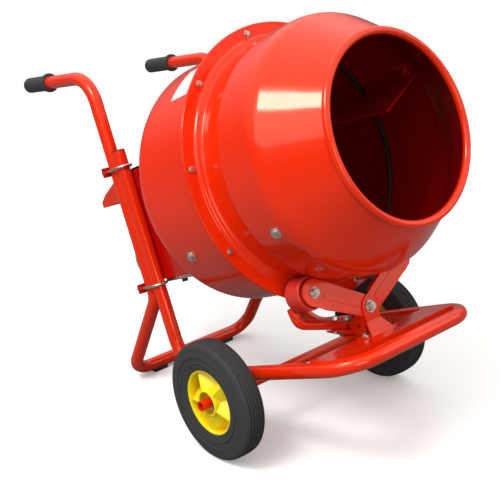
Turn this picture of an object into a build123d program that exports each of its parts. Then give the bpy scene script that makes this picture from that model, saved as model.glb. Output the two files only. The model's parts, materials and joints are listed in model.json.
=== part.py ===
"""Portable electric drum mixer on a two-wheeled tube frame, in millimetres.

Everything is drawn with the drum axis level and the axle at the origin: X runs along the
axle, +Y is the rear where the handles are, +Z is up. The last lines lean the whole machine
back until the leg bar stands on the ground and put the wheels on Z = 0.
"""
import os
from math import acos, atan2, cos, degrees, hypot, radians, sin

from build123d import *

os.makedirs("parts", exist_ok=True)

# --- stance and frame tubes -------------------------------------------------------------
LEAN = 20.5
WHEEL_R = 150
TUBE_D = 36
TUBE_WALL = 2
TUBE_X = 217
MAIN_Y = 233
MAIN_TOP = 664
LOOP_Z = 36
LOOP_FRONT = 413
REAR_BEND = 110
FRONT_BEND = 85
TUBE_GAP = 0.2
HANDLE_TOP = 879
HANDLE_RISE = 73
GRIP_Y = 602.5
HANDLE_BEND = 90
LEG_TOP = 258
LEG_KNEE = 45
LEG_BACK = 513
LEG_BEND = 60
GRIP_LEN = 126
GRIP_R = 22
GRIP_FLANGE_R = 27
GRIP_FLANGE_T = 12
U_ROD_R = 4
U_ROD_END = 14
CLAMP_HEIGHTS = (294, 621)
SADDLE_T = 5
SADDLE_H = 26
PAD_T = 5
PAD_W = 46
PAD_HALF = 15
PAD_X = 128

# --- clearances -------------------------------------------------------------------------
RUNNING = 0.06
FREE = 0.4
SNUG = 0.1

# --- drum -------------------------------------------------------------------------------
DRUM_Z = 497.5
FLANGE_Y = -212
SHEET = 2.5
FLANGE_R = 343
FLANGE_T = 3
NECK_R = 312
BOLT_CIRCLE_R = 326
FLANGE_BOLTS = 10
SEAL_T = 2
TRACK_R = 295
TRACK_END = 72
TRACK_STEP = 9
FRONT_R = 302
SHOULDER = 172
SHOULDER_R = 75
MOUTH_R = 209
FRONT_DEPTH = 331
BEAD_R = 9
BOWL_R = 316
BOWL_DEPTH = 275
BOWL_CORNER = 55
PADDLE_ANGLE = 62.5
PADDLES = 2
PADDLE_T = 5
PADDLE_FRONT_H = 151
PADDLE_REAR_H = 88
PADDLE_END_H = 40
PADDLE_OFFSET = 16.5
PADDLE_BOLT_FRONT = 156
PADDLE_BOLT_REAR = -158

# --- drive ------------------------------------------------------------------------------
HOUSING_FRONT = 85
HOUSING_BACK = 236
HOUSING_LOW = 303
HOUSING_TOP = 613
HOUSING_SEAM = 401
HOUSING_SHEET = 2
SCREW_INSET = 12
RAIL_INSET = 11
RAIL_H = 10
SHAFT_R = 17.5
HUB_PLATE_R = 95
HUB_PLATE_T = 8
BEARING_W = 16
BEARING_WALL = 16
MODULE = 2
GEAR_TEETH = 96
PINION_TEETH = 12
GEAR_Y = 112
GEAR_W = 24
MESH_ANGLE = -45
LAYSHAFT_R = 8
PULLEY_Y = 165
PULLEY_W = 18
PULLEY_LARGE_R = 78.1
PULLEY_SMALL_R = 18.1
BELT_W = 9
BELT_T = 5
MOTOR_X = -45
MOTOR_Z = 360
MOTOR_R = 64
MOTOR_FIN = 7
MOTOR_LEN = 180
MOTOR_SHAFT_R = 7
FAN_COVER_LEN = 62
HOOD_HALF = 120
HOOD_T = 2
HOOD_PROFILE = ((0, 622), (190, 618), (300, 578), (331, 560), (331, 543), (0, 543))
SWITCH_X = 108
SWITCH_Z = 440
SWITCH_W = 92
SWITCH_H = 62
SWITCH_D = 46
BUTTON_R = 12
BUTTON_GAP = 42
BUTTON_OUT = 7
BUTTON_TRAVEL = 4

# --- roller cradle ----------------------------------------------------------------------
ROLLER_ANGLE = 26.7
ROLLER_R = 40
ROLLER_LEN = 48
ROLLER_BACK = -234
BUSH_R = 12
AXLE_BOLT_R = 6
PIVOT_Z = 118.5
ARM_T = 4
ARM_Y = -288.5
ARM_END_R = 32
ARM_FLANGE = 13
YOKE_Y = -217
YOKE_R = 12
YOKE_LOW = 77
YOKE_SLOPE = 0.328
YOKE_TOP = 170
YOKE_X = 166
SEAT_HALF = 68
CHANNEL_FRONT = -367
CHANNEL_BACK = -272
CHANNEL_TOP = 54
CHANNEL_DROP = 34
BRACKET_HALF = 25
BRACKET_BACK = -238
BRACKET_H = 52
FLANGE_OUT = 26
PLATE_T = 4

# --- wheels -----------------------------------------------------------------------------
WHEEL_X = 295.5
TYRE_W = 62
RIM_R = 86
TREAD_GROOVES = 5
GROOVE_W = 4
GROOVE_DEPTH = 3
RIBS = 5
RIB_TURN = -13.5
RIB_T = 5
AXLE_R = 13
AXLE_HALF = 346
HUB_HALF = 32
HUB_R = 33
HUB_CUP_R = 28.5
HUB_CUP = 18
WASHER_R = 19

MAIN_BENDS = [REAR_BEND, FRONT_BEND, FRONT_BEND, REAR_BEND]
FLANGE_FACE = SEAL_T / 2 + FLANGE_T
CHANNEL_HALF = TUBE_X - TUBE_D / 2 + 6
ROLLER_REACH = TRACK_R + ROLLER_R + 0.3
ROLLER_X = ROLLER_REACH * sin(radians(ROLLER_ANGLE))
ROLLER_Z = DRUM_Z - ROLLER_REACH * cos(radians(ROLLER_ANGLE))
HANDLE_Y = MAIN_Y + TUBE_D + TUBE_GAP
MESH_R = MODULE * (GEAR_TEETH + PINION_TEETH) / 2
LAYSHAFT_X = MESH_R * cos(radians(MESH_ANGLE))
LAYSHAFT_Z = DRUM_Z + MESH_R * sin(radians(MESH_ANGLE))

pieces = {}


def lean(y, z):
    """World (y, z) of a point drawn in the level frame, measured from the axle."""
    turn = radians(LEAN)
    return y * cos(turn) + z * sin(turn), z * cos(turn) - y * sin(turn)


def leg_foot_z():
    """Level-frame height of the leg bar whose pads stand on the ground."""
    turn = radians(LEAN)
    return (PAD_T + TUBE_D / 2 - WHEEL_R + LEG_BACK * sin(turn)) / cos(turn)


def keep(name, piece):
    """Remember a finished piece under the name of its STEP file."""
    pieces[name] = piece


def level(y):
    """Plane across the drum axis at this Y: sketch x is X, sketch y is Z."""
    return Plane(origin=(0, y, 0), x_dir=(1, 0, 0), z_dir=(0, -1, 0))


def side(x):
    """Plane across the axle at this X: sketch x is Y, sketch y is Z."""
    return Plane(origin=(x, 0, 0), x_dir=(0, 1, 0), z_dir=(1, 0, 0))


def tube(points, bends, outer, bore=0):
    """Round bar or tube of one cut length bent through these points."""
    with BuildPart() as piece:
        with BuildLine() as route:
            FilletPolyline(*points, radius=bends)
        with BuildSketch(Plane(origin=route.line @ 0, z_dir=route.line % 0)):
            Circle(outer)
            if bore:
                Circle(bore, mode=Mode.SUBTRACT)
        sweep(path=route.line)
    return piece


def bar(start, end, radius, bore=0):
    """Straight round bar between two points."""
    run = Vector(*end) - Vector(*start)
    with BuildPart(Plane(origin=start, z_dir=run)) as piece:
        Cylinder(radius, run.length, align=(Align.CENTER, Align.CENTER, Align.MIN))
        if bore:
            Cylinder(bore, run.length, align=(Align.CENTER, Align.CENTER, Align.MIN), mode=Mode.SUBTRACT)
    return piece


def hex_head(seat, across, height, washer_r=0, stud=0, shank=0, shank_r=0):
    """Hexagon on a washer, standing on the plane `seat`, with its stud above and shank below."""
    low = (Align.CENTER, Align.CENTER, Align.MIN)
    with BuildPart(seat) as head:
        if washer_r:
            Cylinder(washer_r, 1.6, align=low)
        with BuildSketch(seat.offset(1.6 if washer_r else 0)):
            RegularPolygon(across / 2, 6, major_radius=False)
        extrude(amount=height)
        if stud:
            with Locations((0, 0, height)):
                Cylinder(across * 0.3, stud, align=low)
        if shank:
            Cylinder(shank_r, shank, align=(Align.CENTER, Align.CENTER, Align.MAX))
    return head


def group(name, members):
    """Join repeated fasteners that share one node, as separate solids."""
    with BuildPart() as piece:
        for member in members:
            add(member.part)
    keep(name, piece)


# ======================================= frame tubes ====================================
def main_route():
    """Corner points of the main tube: up one side, round the front loop and up the other."""
    half = [(MAIN_Y, MAIN_TOP), (MAIN_Y, LOOP_Z), (-LOOP_FRONT, LOOP_Z)]
    return [(-TUBE_X, y, z) for y, z in half] + [(TUBE_X, y, z) for y, z in reversed(half)]


def frame_tubes():
    """Main tube with its plugs, and the tube that makes the handles and the rear leg."""
    keep("main_frame_tube", tube(main_route(), MAIN_BENDS, TUBE_D / 2, TUBE_D / 2 - TUBE_WALL))

    half = [(GRIP_Y, HANDLE_TOP + HANDLE_RISE), (HANDLE_Y, HANDLE_TOP), (HANDLE_Y, LEG_TOP),
            (LEG_BACK, leg_foot_z())]
    route = [(-TUBE_X, y, z) for y, z in half] + [(TUBE_X, y, z) for y, z in reversed(half)]
    bends = [HANDLE_BEND, LEG_KNEE, LEG_BEND, LEG_BEND, LEG_KNEE, HANDLE_BEND]
    keep("handle_leg_tube", tube(route, bends, TUBE_D / 2, TUBE_D / 2 - TUBE_WALL))

    plugs = []
    for x in (-TUBE_X, TUBE_X):
        plugs.append(bar((x, MAIN_Y, MAIN_TOP), (x, MAIN_Y, MAIN_TOP + 3), TUBE_D / 2 - 0.5))
        plugs.append(bar((x, MAIN_Y, MAIN_TOP - 18), (x, MAIN_Y, MAIN_TOP),
                         TUBE_D / 2 - TUBE_WALL - SNUG))
    group("tube_plugs", plugs)


def grips():
    """Rubber grip with a hand-guard ring, pushed over each handle end."""
    run_y = GRIP_Y - HANDLE_Y
    length = hypot(run_y, HANDLE_RISE)
    along = Vector(0, run_y / length, HANDLE_RISE / length)
    for word, x in (("left", -TUBE_X), ("right", TUBE_X)):
        end = Vector(x, GRIP_Y, HANDLE_TOP + HANDLE_RISE)
        start = end - along * GRIP_LEN
        low = (Align.CENTER, Align.CENTER, Align.MIN)
        with BuildPart(Plane(origin=start, x_dir=(1, 0, 0), z_dir=along)) as grip:
            Cylinder(GRIP_R, GRIP_LEN + 4, align=low)
            Cylinder(GRIP_FLANGE_R, GRIP_FLANGE_T, align=low)
            fillet(grip.edges().filter_by(GeomType.CIRCLE).sort_by(SortBy.RADIUS)[-2:], 3)
            Cylinder(TUBE_D / 2 + SNUG, GRIP_LEN + SNUG, align=low, mode=Mode.SUBTRACT)
        keep(f"grip_{word}", grip)


# ======================================= tube clamps ====================================
def clamps():
    """U-bolts that hold the handle tube to the main tube, with saddle plates and nuts."""
    reach = TUBE_D / 2 + U_ROD_R + SNUG
    back = HANDLE_Y + TUBE_D / 2 + SADDLE_T + SNUG
    bolts, saddles, nuts = [], [], []
    for x in (-TUBE_X, TUBE_X):
        for z in CLAMP_HEIGHTS:
            with BuildPart() as bolt:
                with BuildLine() as route:
                    Line((x - reach, back + U_ROD_END, z), (x - reach, MAIN_Y, z))
                    ThreePointArc((x - reach, MAIN_Y, z), (x, MAIN_Y - reach, z), (x + reach, MAIN_Y, z))
                    Line((x + reach, MAIN_Y, z), (x + reach, back + U_ROD_END, z))
                with BuildSketch(Plane(origin=(x - reach, back + U_ROD_END, z), z_dir=(0, -1, 0))):
                    Circle(U_ROD_R)
                sweep(path=route.line)
            bolts.append(bolt)
            with BuildPart() as saddle:
                with BuildSketch(Plane.XY.offset(z - SADDLE_H / 2)):
                    with Locations((x, HANDLE_Y + TUBE_D / 2 - 3)):
                        Rectangle(2 * reach + 20, SADDLE_T + 3, align=(Align.CENTER, Align.MIN))
                    with Locations((x, HANDLE_Y)):
                        Circle(TUBE_D / 2 + SNUG, mode=Mode.SUBTRACT)
                extrude(amount=SADDLE_H)
                for hole_x in (x - reach, x + reach):
                    with Locations(Plane(origin=(hole_x, back, z), z_dir=(0, 1, 0))):
                        Cylinder(U_ROD_R + SNUG, 40, mode=Mode.SUBTRACT)
            saddles.append(saddle)
            for nut_x in (x - reach, x + reach):
                seat = Plane(origin=(nut_x, back, z), z_dir=(0, 1, 0))
                with BuildPart() as nut:
                    with BuildSketch(seat):
                        RegularPolygon(6.5, 6, major_radius=False)
                        Circle(U_ROD_R + SNUG, mode=Mode.SUBTRACT)
                    extrude(amount=7)
                nuts.append(nut)
    group("u_bolts", bolts)
    group("clamp_saddles", saddles)
    group("clamp_nuts", nuts)


# ======================================= ground contact =================================
def foot_pads():
    """Rubber pads under the leg bar; drawn upright because they lie flat on the ground."""
    bar_y, bar_z = lean(LEG_BACK, leg_foot_z())
    pads = []
    for x in (-PAD_X, PAD_X):
        with BuildPart() as pad:
            with BuildSketch(side(x - PAD_W / 2)):
                with Locations((bar_y, -WHEEL_R)):
                    Rectangle(2 * PAD_HALF, PAD_T + 8, align=(Align.CENTER, Align.MIN))
                with Locations((bar_y, bar_z)):
                    Circle(TUBE_D / 2 + SNUG, mode=Mode.SUBTRACT)
            extrude(amount=PAD_W)
        pads.append(pad)
    with BuildPart() as piece:
        for pad in pads:
            add(pad.part.moved(Location((0, 0, 0), (LEAN, 0, 0))))
    keep("foot_pads", piece)


# ======================================= axle and wheels ================================
def axle():
    keep("axle_tube", bar((-AXLE_HALF, 0, 0), (AXLE_HALF, 0, 0), AXLE_R, AXLE_R - 3))
    brackets = []
    for x in (-TUBE_X, TUBE_X):
        with BuildPart() as bracket:
            with BuildSketch(side(x - 3)):
                Circle(AXLE_R + 9)
                with Locations((0, LOOP_Z - TUBE_D / 2 - 2)):
                    Rectangle(70, 6)
                make_hull()
                Circle(AXLE_R, mode=Mode.SUBTRACT)
                with Locations((0, LOOP_Z)):
                    Rectangle(200, TUBE_D, mode=Mode.SUBTRACT)
            extrude(amount=6)
        brackets.append(bracket)
    group("axle_brackets", brackets)

    rings, pins = [], []
    for way in (-1, 1):
        inner, seat = WHEEL_X - HUB_HALF, WHEEL_X + HUB_HALF - HUB_CUP
        for start, end in ((inner - 5, inner - FREE), (seat + FREE, seat + 3)):
            rings.append(bar((way * start, 0, 0), (way * end, 0, 0), WASHER_R, AXLE_R + SNUG))
        pin_x = way * (seat + 3 + 3)
        pins.append(bar((pin_x, 0, -AXLE_R - 9), (pin_x, 0, AXLE_R + 7), 2.5))
    group("axle_washers_and_pins", rings + pins)
    keep_cut("axle_tube", pins)


def keep_cut(name, tools):
    """Drill the shapes of these tools through a kept piece."""
    with BuildPart() as cut:
        add(pieces[name].part)
        for tool in tools:
            add(tool.part, mode=Mode.SUBTRACT)
    keep(name, cut)


def wheels():
    half = TYRE_W / 2
    for word, way in (("left", -1), ("right", 1)):
        centre = way * WHEEL_X
        with BuildPart() as tyre:
            with BuildSketch(Plane.XZ):
                with BuildLine():
                    Polyline((centre - half + 5, RIM_R - 4), (centre + half - 5, RIM_R - 4),
                             (centre + half - 3, RIM_R), (centre + half, RIM_R + 18),
                             (centre + half, WHEEL_R - 20), (centre + half - 6, WHEEL_R - 4),
                             (centre + half - 12, WHEEL_R), (centre - half + 12, WHEEL_R),
                             (centre - half + 6, WHEEL_R - 4), (centre - half, WHEEL_R - 20),
                             (centre - half, RIM_R + 18), (centre - half + 3, RIM_R), close=True)
                make_face()
                for step in range(TREAD_GROOVES):
                    groove_x = centre + (step - (TREAD_GROOVES - 1) / 2) * (TYRE_W - 18) / TREAD_GROOVES
                    with Locations((groove_x, WHEEL_R)):
                        Rectangle(GROOVE_W, 2 * GROOVE_DEPTH, mode=Mode.SUBTRACT)
            revolve(axis=Axis.X)
        keep(f"tyre_{word}", tyre)

        with BuildPart() as rim:
            with BuildSketch(Plane.XZ):
                with Locations((centre, RIM_R - 4 - 5)):
                    Rectangle(TYRE_W - 10, 10)
                with Locations((centre, (HUB_R + AXLE_R + 4) / 2)):
                    Rectangle(2 * HUB_HALF, HUB_R - AXLE_R - 4)
                with Locations((centre + way * HUB_HALF, 0)):
                    Rectangle(2 * HUB_CUP, 2 * HUB_CUP_R, mode=Mode.SUBTRACT)
                with BuildLine():
                    Polyline((centre - way * 4, HUB_R - 4), (centre + way * 4, HUB_R - 4),
                             (centre - way * 6, RIM_R - 8), (centre - way * 13, RIM_R - 8), close=True)
                make_face()
            revolve(axis=Axis.X)
            for step in range(RIBS):
                turn = Location((0, 0, 0), (1, 0, 0), RIB_TURN + step * 360 / RIBS)
                with BuildSketch(Plane.XZ.offset(-RIB_T / 2)) as rib_face:
                    with BuildLine():
                        Polyline((centre, HUB_R - 4), (centre + way * (HUB_HALF - 2), HUB_R - 4),
                                 (centre + way * 20, RIM_R - 9), (centre - way * 8, RIM_R - 9), close=True)
                    make_face()
                rib = extrude(rib_face.sketch, amount=RIB_T, mode=Mode.PRIVATE)
                add(rib.moved(turn))
        keep(f"wheel_rim_{word}", rim)
        ends = (way * (WHEEL_X - HUB_HALF), 0, 0), (way * (WHEEL_X + HUB_HALF - HUB_CUP), 0, 0)
        keep(f"wheel_bush_{word}", bar(*ends, AXLE_R + 4, AXLE_R + RUNNING))


# ======================================= roller cradle ==================================
def cross_channel():
    """Folded channel welded between the loop side tubes, ends coped to their round."""
    depth = CHANNEL_BACK - CHANNEL_FRONT
    middle = (CHANNEL_BACK + CHANNEL_FRONT) / 2
    with BuildPart() as channel:
        with BuildSketch(side(-CHANNEL_HALF)):
            with Locations((middle, CHANNEL_TOP)):
                Rectangle(depth, CHANNEL_DROP, align=(Align.CENTER, Align.MAX))
            with Locations((middle, CHANNEL_TOP - PLATE_T)):
                Rectangle(depth - 2 * PLATE_T, CHANNEL_DROP, align=(Align.CENTER, Align.MAX),
                          mode=Mode.SUBTRACT)
        extrude(amount=2 * CHANNEL_HALF)
    keep("cross_channel", channel)
    keep_cut("cross_channel", [tube(main_route(), MAIN_BENDS, TUBE_D / 2 + SNUG)])


def centre_bracket():
    """Upright channel on the cross member: two side plates with outward base flanges."""
    front = ARM_Y
    length = BRACKET_BACK - front
    with BuildPart() as bracket:
        for way in (-1, 1):
            with BuildSketch(side(way * BRACKET_HALF - PLATE_T / 2)):
                with BuildLine():
                    Polyline((front, CHANNEL_TOP), (CHANNEL_BACK - 2, CHANNEL_TOP),
                             (BRACKET_BACK, CHANNEL_TOP + 10), (BRACKET_BACK, CHANNEL_TOP + 34),
                             (front + 22, CHANNEL_TOP + BRACKET_H), (front, CHANNEL_TOP + BRACKET_H),
                             close=True)
                make_face()
                with Locations((front + 20, CHANNEL_TOP + 26)):
                    Circle(6, mode=Mode.SUBTRACT)
            extrude(amount=PLATE_T)
            with Locations((way * (BRACKET_HALF + FLANGE_OUT / 2), front - 6, CHANNEL_TOP)):
                Box(FLANGE_OUT + PLATE_T, 34, PLATE_T, align=(Align.CENTER, Align.CENTER, Align.MIN))
        with Locations((0, front, CHANNEL_TOP)):
            Box(2 * BRACKET_HALF, PLATE_T, PIVOT_Z - CHANNEL_TOP + 16,
                align=(Align.CENTER, Align.MIN, Align.MIN))
        with Locations(Plane(origin=(0, front, PIVOT_Z), z_dir=(0, 1, 0))):
            Cylinder(AXLE_BOLT_R + SNUG, 4 * PLATE_T, mode=Mode.SUBTRACT)
    keep("cradle_bracket", bracket)
    bolts = []
    for way in (-1, 1):
        seat = Plane(origin=(way * (BRACKET_HALF + FLANGE_OUT / 2), front - 6, CHANNEL_TOP + PLATE_T))
        bolts.append(hex_head(seat, 13, 6, 11, 0, PLATE_T + 14, 4))
    keep_cut("cradle_bracket", bolts)
    keep_cut("cross_channel", bolts)
    return bolts


def arm_plate(way, y_front, end_r, pivot_r, foot):
    """Pressed arm from the pivot to one roller: flat face, rounded ends, folded edges."""
    run = Vector(way * ROLLER_X, 0, ROLLER_Z - PIVOT_Z)
    length = run.length
    along = run.normalized()
    across = Vector(-along.Z, 0, along.X)
    with BuildPart() as arm:
        with BuildSketch(level(y_front)):
            with Locations((0, PIVOT_Z)):
                Circle(pivot_r)
            with Locations((way * ROLLER_X, ROLLER_Z)):
                Circle(end_r)
            make_hull()
        extrude(amount=-ARM_T)
        face = Plane(origin=(0, y_front, PIVOT_Z), x_dir=along, z_dir=(0, -1, 0))
        with BuildSketch(face.offset(-ARM_T)):
            for edge in (-1, 1):
                with BuildLine():
                    Polyline((pivot_r + 12, edge * (pivot_r - 1)), (pivot_r + 12, edge * (pivot_r - 4)),
                             (length - ROLLER_R - 6, edge * (end_r - 5.5)),
                             (length - ROLLER_R - 6, edge * (end_r - 2.5)), close=True)
                make_face()
        extrude(amount=-ARM_FLANGE)
        with BuildSketch(face):
            with Locations((length / 2, 0)):
                SlotOverall(length - 56, 17)
        extrude(amount=1.6, taper=20)
        for x, z in ((0, PIVOT_Z), (way * ROLLER_X, ROLLER_Z)):
            with Locations(Plane(origin=(x, y_front, z), z_dir=(0, 1, 0))):
                Cylinder(AXLE_BOLT_R + SNUG, 4 * ARM_T, mode=Mode.SUBTRACT)
        if foot:
            knee = PIVOT_Z - pivot_r - 8
            with BuildSketch(Plane.XY.offset(PIVOT_Z)):
                with Locations((0, y_front + ARM_T)):
                    Rectangle(2 * pivot_r, ARM_T, align=(Align.CENTER, Align.MAX))
            extrude(amount=knee - PIVOT_Z)
            with BuildSketch(Plane.XY.offset(knee)):
                with Locations((0, y_front + ARM_T)):
                    Rectangle(2 * pivot_r, ARM_T, align=(Align.CENTER, Align.MAX))
            with BuildSketch(Plane.XY.offset(CHANNEL_TOP)):
                with Locations((-2, y_front + ARM_T - 22)):
                    Rectangle(78, ARM_T, align=(Align.CENTER, Align.MAX))
            loft()
            with Locations(Plane(origin=(0, y_front, PIVOT_Z), z_dir=(0, 1, 0))):
                Cylinder(AXLE_BOLT_R + SNUG, 4 * ARM_T, mode=Mode.SUBTRACT)
    return arm


def roller_arms():
    """Right arm lies over the left one at the pivot and runs on down as the splayed foot."""
    keep("roller_arm_left", arm_plate(-1, ARM_Y - ARM_T, ARM_END_R, 26, False))
    keep("roller_arm_right", arm_plate(1, ARM_Y - 2 * ARM_T - SNUG, ARM_END_R - 4, 24, True))


def rollers():
    """Two idle rollers that carry the drum's track, each on a bush over its axle bolt."""
    front = ROLLER_BACK - ROLLER_LEN
    tab_front = ROLLER_BACK + 5
    bushes, bolts = [], []
    for word, way in (("left", -1), ("right", 1)):
        x = way * ROLLER_X
        with BuildPart() as roller:
            with BuildSketch(side(x)):
                with BuildLine():
                    Polyline((front, ROLLER_Z + ROLLER_R - 2), (front + 2, ROLLER_Z + ROLLER_R),
                             (ROLLER_BACK - 2, ROLLER_Z + ROLLER_R),
                             (ROLLER_BACK, ROLLER_Z + ROLLER_R - 2),
                             (ROLLER_BACK, ROLLER_Z + BUSH_R + RUNNING),
                             (front + 1, ROLLER_Z + BUSH_R + RUNNING), (front + 1, ROLLER_Z + 24),
                             (front + 6, ROLLER_Z + 26), (front + 6, ROLLER_Z + 32),
                             (front, ROLLER_Z + 34), close=True)
                make_face()
            revolve(axis=Axis((x, 0, ROLLER_Z), (0, 1, 0)))
        keep(f"roller_{word}", roller)
        arm_back = ARM_Y if way < 0 else ARM_Y - ARM_T - SNUG
        bushes.append(bar((x, arm_back, ROLLER_Z), (x, tab_front, ROLLER_Z), BUSH_R, AXLE_BOLT_R + SNUG))
        face = arm_back - ARM_T
        seat = Plane(origin=(x, face, ROLLER_Z), z_dir=(0, -1, 0))
        bolts.append(hex_head(seat, 17, 8, 13, 4, tab_front + 5 - face, AXLE_BOLT_R))
    group("roller_bushes", bushes)
    group("roller_bolts", bolts)
    face = ARM_Y - 2 * ARM_T - SNUG
    seat = Plane(origin=(0, face, PIVOT_Z), z_dir=(0, -1, 0))
    back = Plane(origin=(0, ARM_Y + PLATE_T, PIVOT_Z), z_dir=(0, 1, 0))
    pivot = hex_head(seat, 19, 9, 15, 5, 2 * ARM_T + PLATE_T + SNUG + 1, AXLE_BOLT_R)
    return [pivot, hex_head(back.offset(1.5), 17, 8)]


def yoke():
    """Bent round bar behind the rollers; its end tabs carry the rear of the axle bolts."""
    knee = (160, YOKE_LOW + YOKE_SLOPE * 160)
    half = [(YOKE_X, YOKE_TOP), knee]
    route = [(-x, YOKE_Y, z) for x, z in half] + [(0, YOKE_Y, YOKE_LOW)]
    route += [(x, YOKE_Y, z) for x, z in reversed(half)]
    bent = tube(route, [30, 60, 30], YOKE_R)
    tab_back = ROLLER_BACK + 5
    with BuildPart() as piece:
        add(bent.part)
        for way in (-1, 1):
            with BuildSketch(level(tab_back)):
                with Locations((way * ROLLER_X, ROLLER_Z)):
                    Circle(17)
                with Locations((way * YOKE_X, YOKE_TOP - 12)):
                    Circle(11)
                make_hull()
                with Locations((way * ROLLER_X, ROLLER_Z)):
                    Circle(AXLE_BOLT_R + SNUG, mode=Mode.SUBTRACT)
            extrude(amount=-5)
    keep("roller_yoke", piece)

    seat_z = YOKE_LOW - YOKE_R / cos(atan2(YOKE_SLOPE, 1)) - 0.3
    low_z = CHANNEL_TOP + PLATE_T
    with BuildPart() as seat:
        with BuildSketch(level(YOKE_Y + 19)):
            with BuildLine():
                Polyline((0, seat_z), (SEAT_HALF, seat_z + SEAT_HALF * YOKE_SLOPE),
                         (SEAT_HALF, seat_z - PLATE_T + SEAT_HALF * YOKE_SLOPE), (12, low_z - PLATE_T),
                         (-12, low_z - PLATE_T), (-SEAT_HALF, seat_z - PLATE_T + SEAT_HALF * YOKE_SLOPE),
                         (-SEAT_HALF, seat_z + SEAT_HALF * YOKE_SLOPE), close=True)
            make_face()
        extrude(amount=38)
        with Locations((0, YOKE_Y + 19, low_z)):
            Box(2 * BRACKET_HALF - PLATE_T - 1, YOKE_Y + 19 - ARM_Y - 8, PLATE_T,
                align=(Align.CENTER, Align.MAX, Align.MAX))
    keep("yoke_seat", seat)

    bolts = []
    turn = degrees(atan2(YOKE_SLOPE, 1))
    for way in (-1, 1):
        for x in (16, 52):
            lift = Vector(-way * sin(radians(turn)), 0, cos(radians(turn)))
            foot = Vector(way * x, YOKE_Y, YOKE_LOW + x * YOKE_SLOPE)
            seat_plane = Plane(origin=foot + lift * (YOKE_R - 1), x_dir=(0, 1, 0), z_dir=lift)
            bolts.append(hex_head(seat_plane, 13, 7, 9, 5, 2 * YOKE_R + 7, 4))
    keep_cut("roller_yoke", bolts)
    keep_cut("yoke_seat", bolts)
    return bolts


# ======================================= drum ===========================================
def drum_point(s, r):
    """Sketch point on side(0): `s` in front of the flange plane, `r` from the drum axis."""
    return FLANGE_Y - s, DRUM_Z + r


def front_skin(inset):
    """Front shell's line from the flange step over track and shoulder to the mouth."""
    centre_r = FRONT_R - SHOULDER_R
    rise, drop = FRONT_DEPTH - SHOULDER, MOUTH_R - centre_r
    turn = atan2(rise, drop) - acos(SHOULDER_R / hypot(rise, drop))
    neck, track, wide = NECK_R - inset, TRACK_R - inset, FRONT_R - inset

    def on_shoulder(angle):
        radius = SHOULDER_R - inset
        return drum_point(SHOULDER + radius * sin(angle), centre_r + radius * cos(angle))

    start = drum_point(FLANGE_FACE, neck)
    Bezier(start, drum_point(FLANGE_FACE + 8, neck), drum_point(FLANGE_FACE + 4, track),
           drum_point(FLANGE_FACE + 13, track))
    Line(drum_point(FLANGE_FACE + 13, track), drum_point(TRACK_END, track))
    Bezier(drum_point(TRACK_END, track), drum_point(TRACK_END + 5, track),
           drum_point(TRACK_END + TRACK_STEP - 5, wide), drum_point(TRACK_END + TRACK_STEP, wide))
    Line(drum_point(TRACK_END + TRACK_STEP, wide), on_shoulder(0))
    ThreePointArc(on_shoulder(0), on_shoulder(turn / 2), on_shoulder(turn))
    mouth = drum_point(FRONT_DEPTH, MOUTH_R - inset)
    Line(on_shoulder(turn), mouth)
    return start, mouth


def rear_skin(inset):
    """Rear bowl's line from its flange round the corner to the flat back."""
    corner_r, corner_s = BOWL_R - BOWL_CORNER, BOWL_CORNER - BOWL_DEPTH
    radius = BOWL_CORNER - inset

    def on_corner(angle):
        return drum_point(corner_s - radius * sin(angle), corner_r + radius * cos(angle))

    rim = drum_point(-FLANGE_FACE, BOWL_R - inset)
    hole = drum_point(inset - BOWL_DEPTH, SHAFT_R + SNUG)
    Line(rim, on_corner(0))
    ThreePointArc(on_corner(0), on_corner(radians(45)), on_corner(radians(90)))
    Line(on_corner(radians(90)), hole)
    return rim, hole


def revolved(profile_lines):
    """Solid of revolution about the drum axis from the lines that this function draws."""
    with BuildPart() as piece:
        with BuildSketch(side(0)):
            with BuildLine():
                profile_lines()
            make_face()
        revolve(axis=Axis((0, 0, DRUM_Z), (0, 1, 0)))
    return piece


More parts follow.
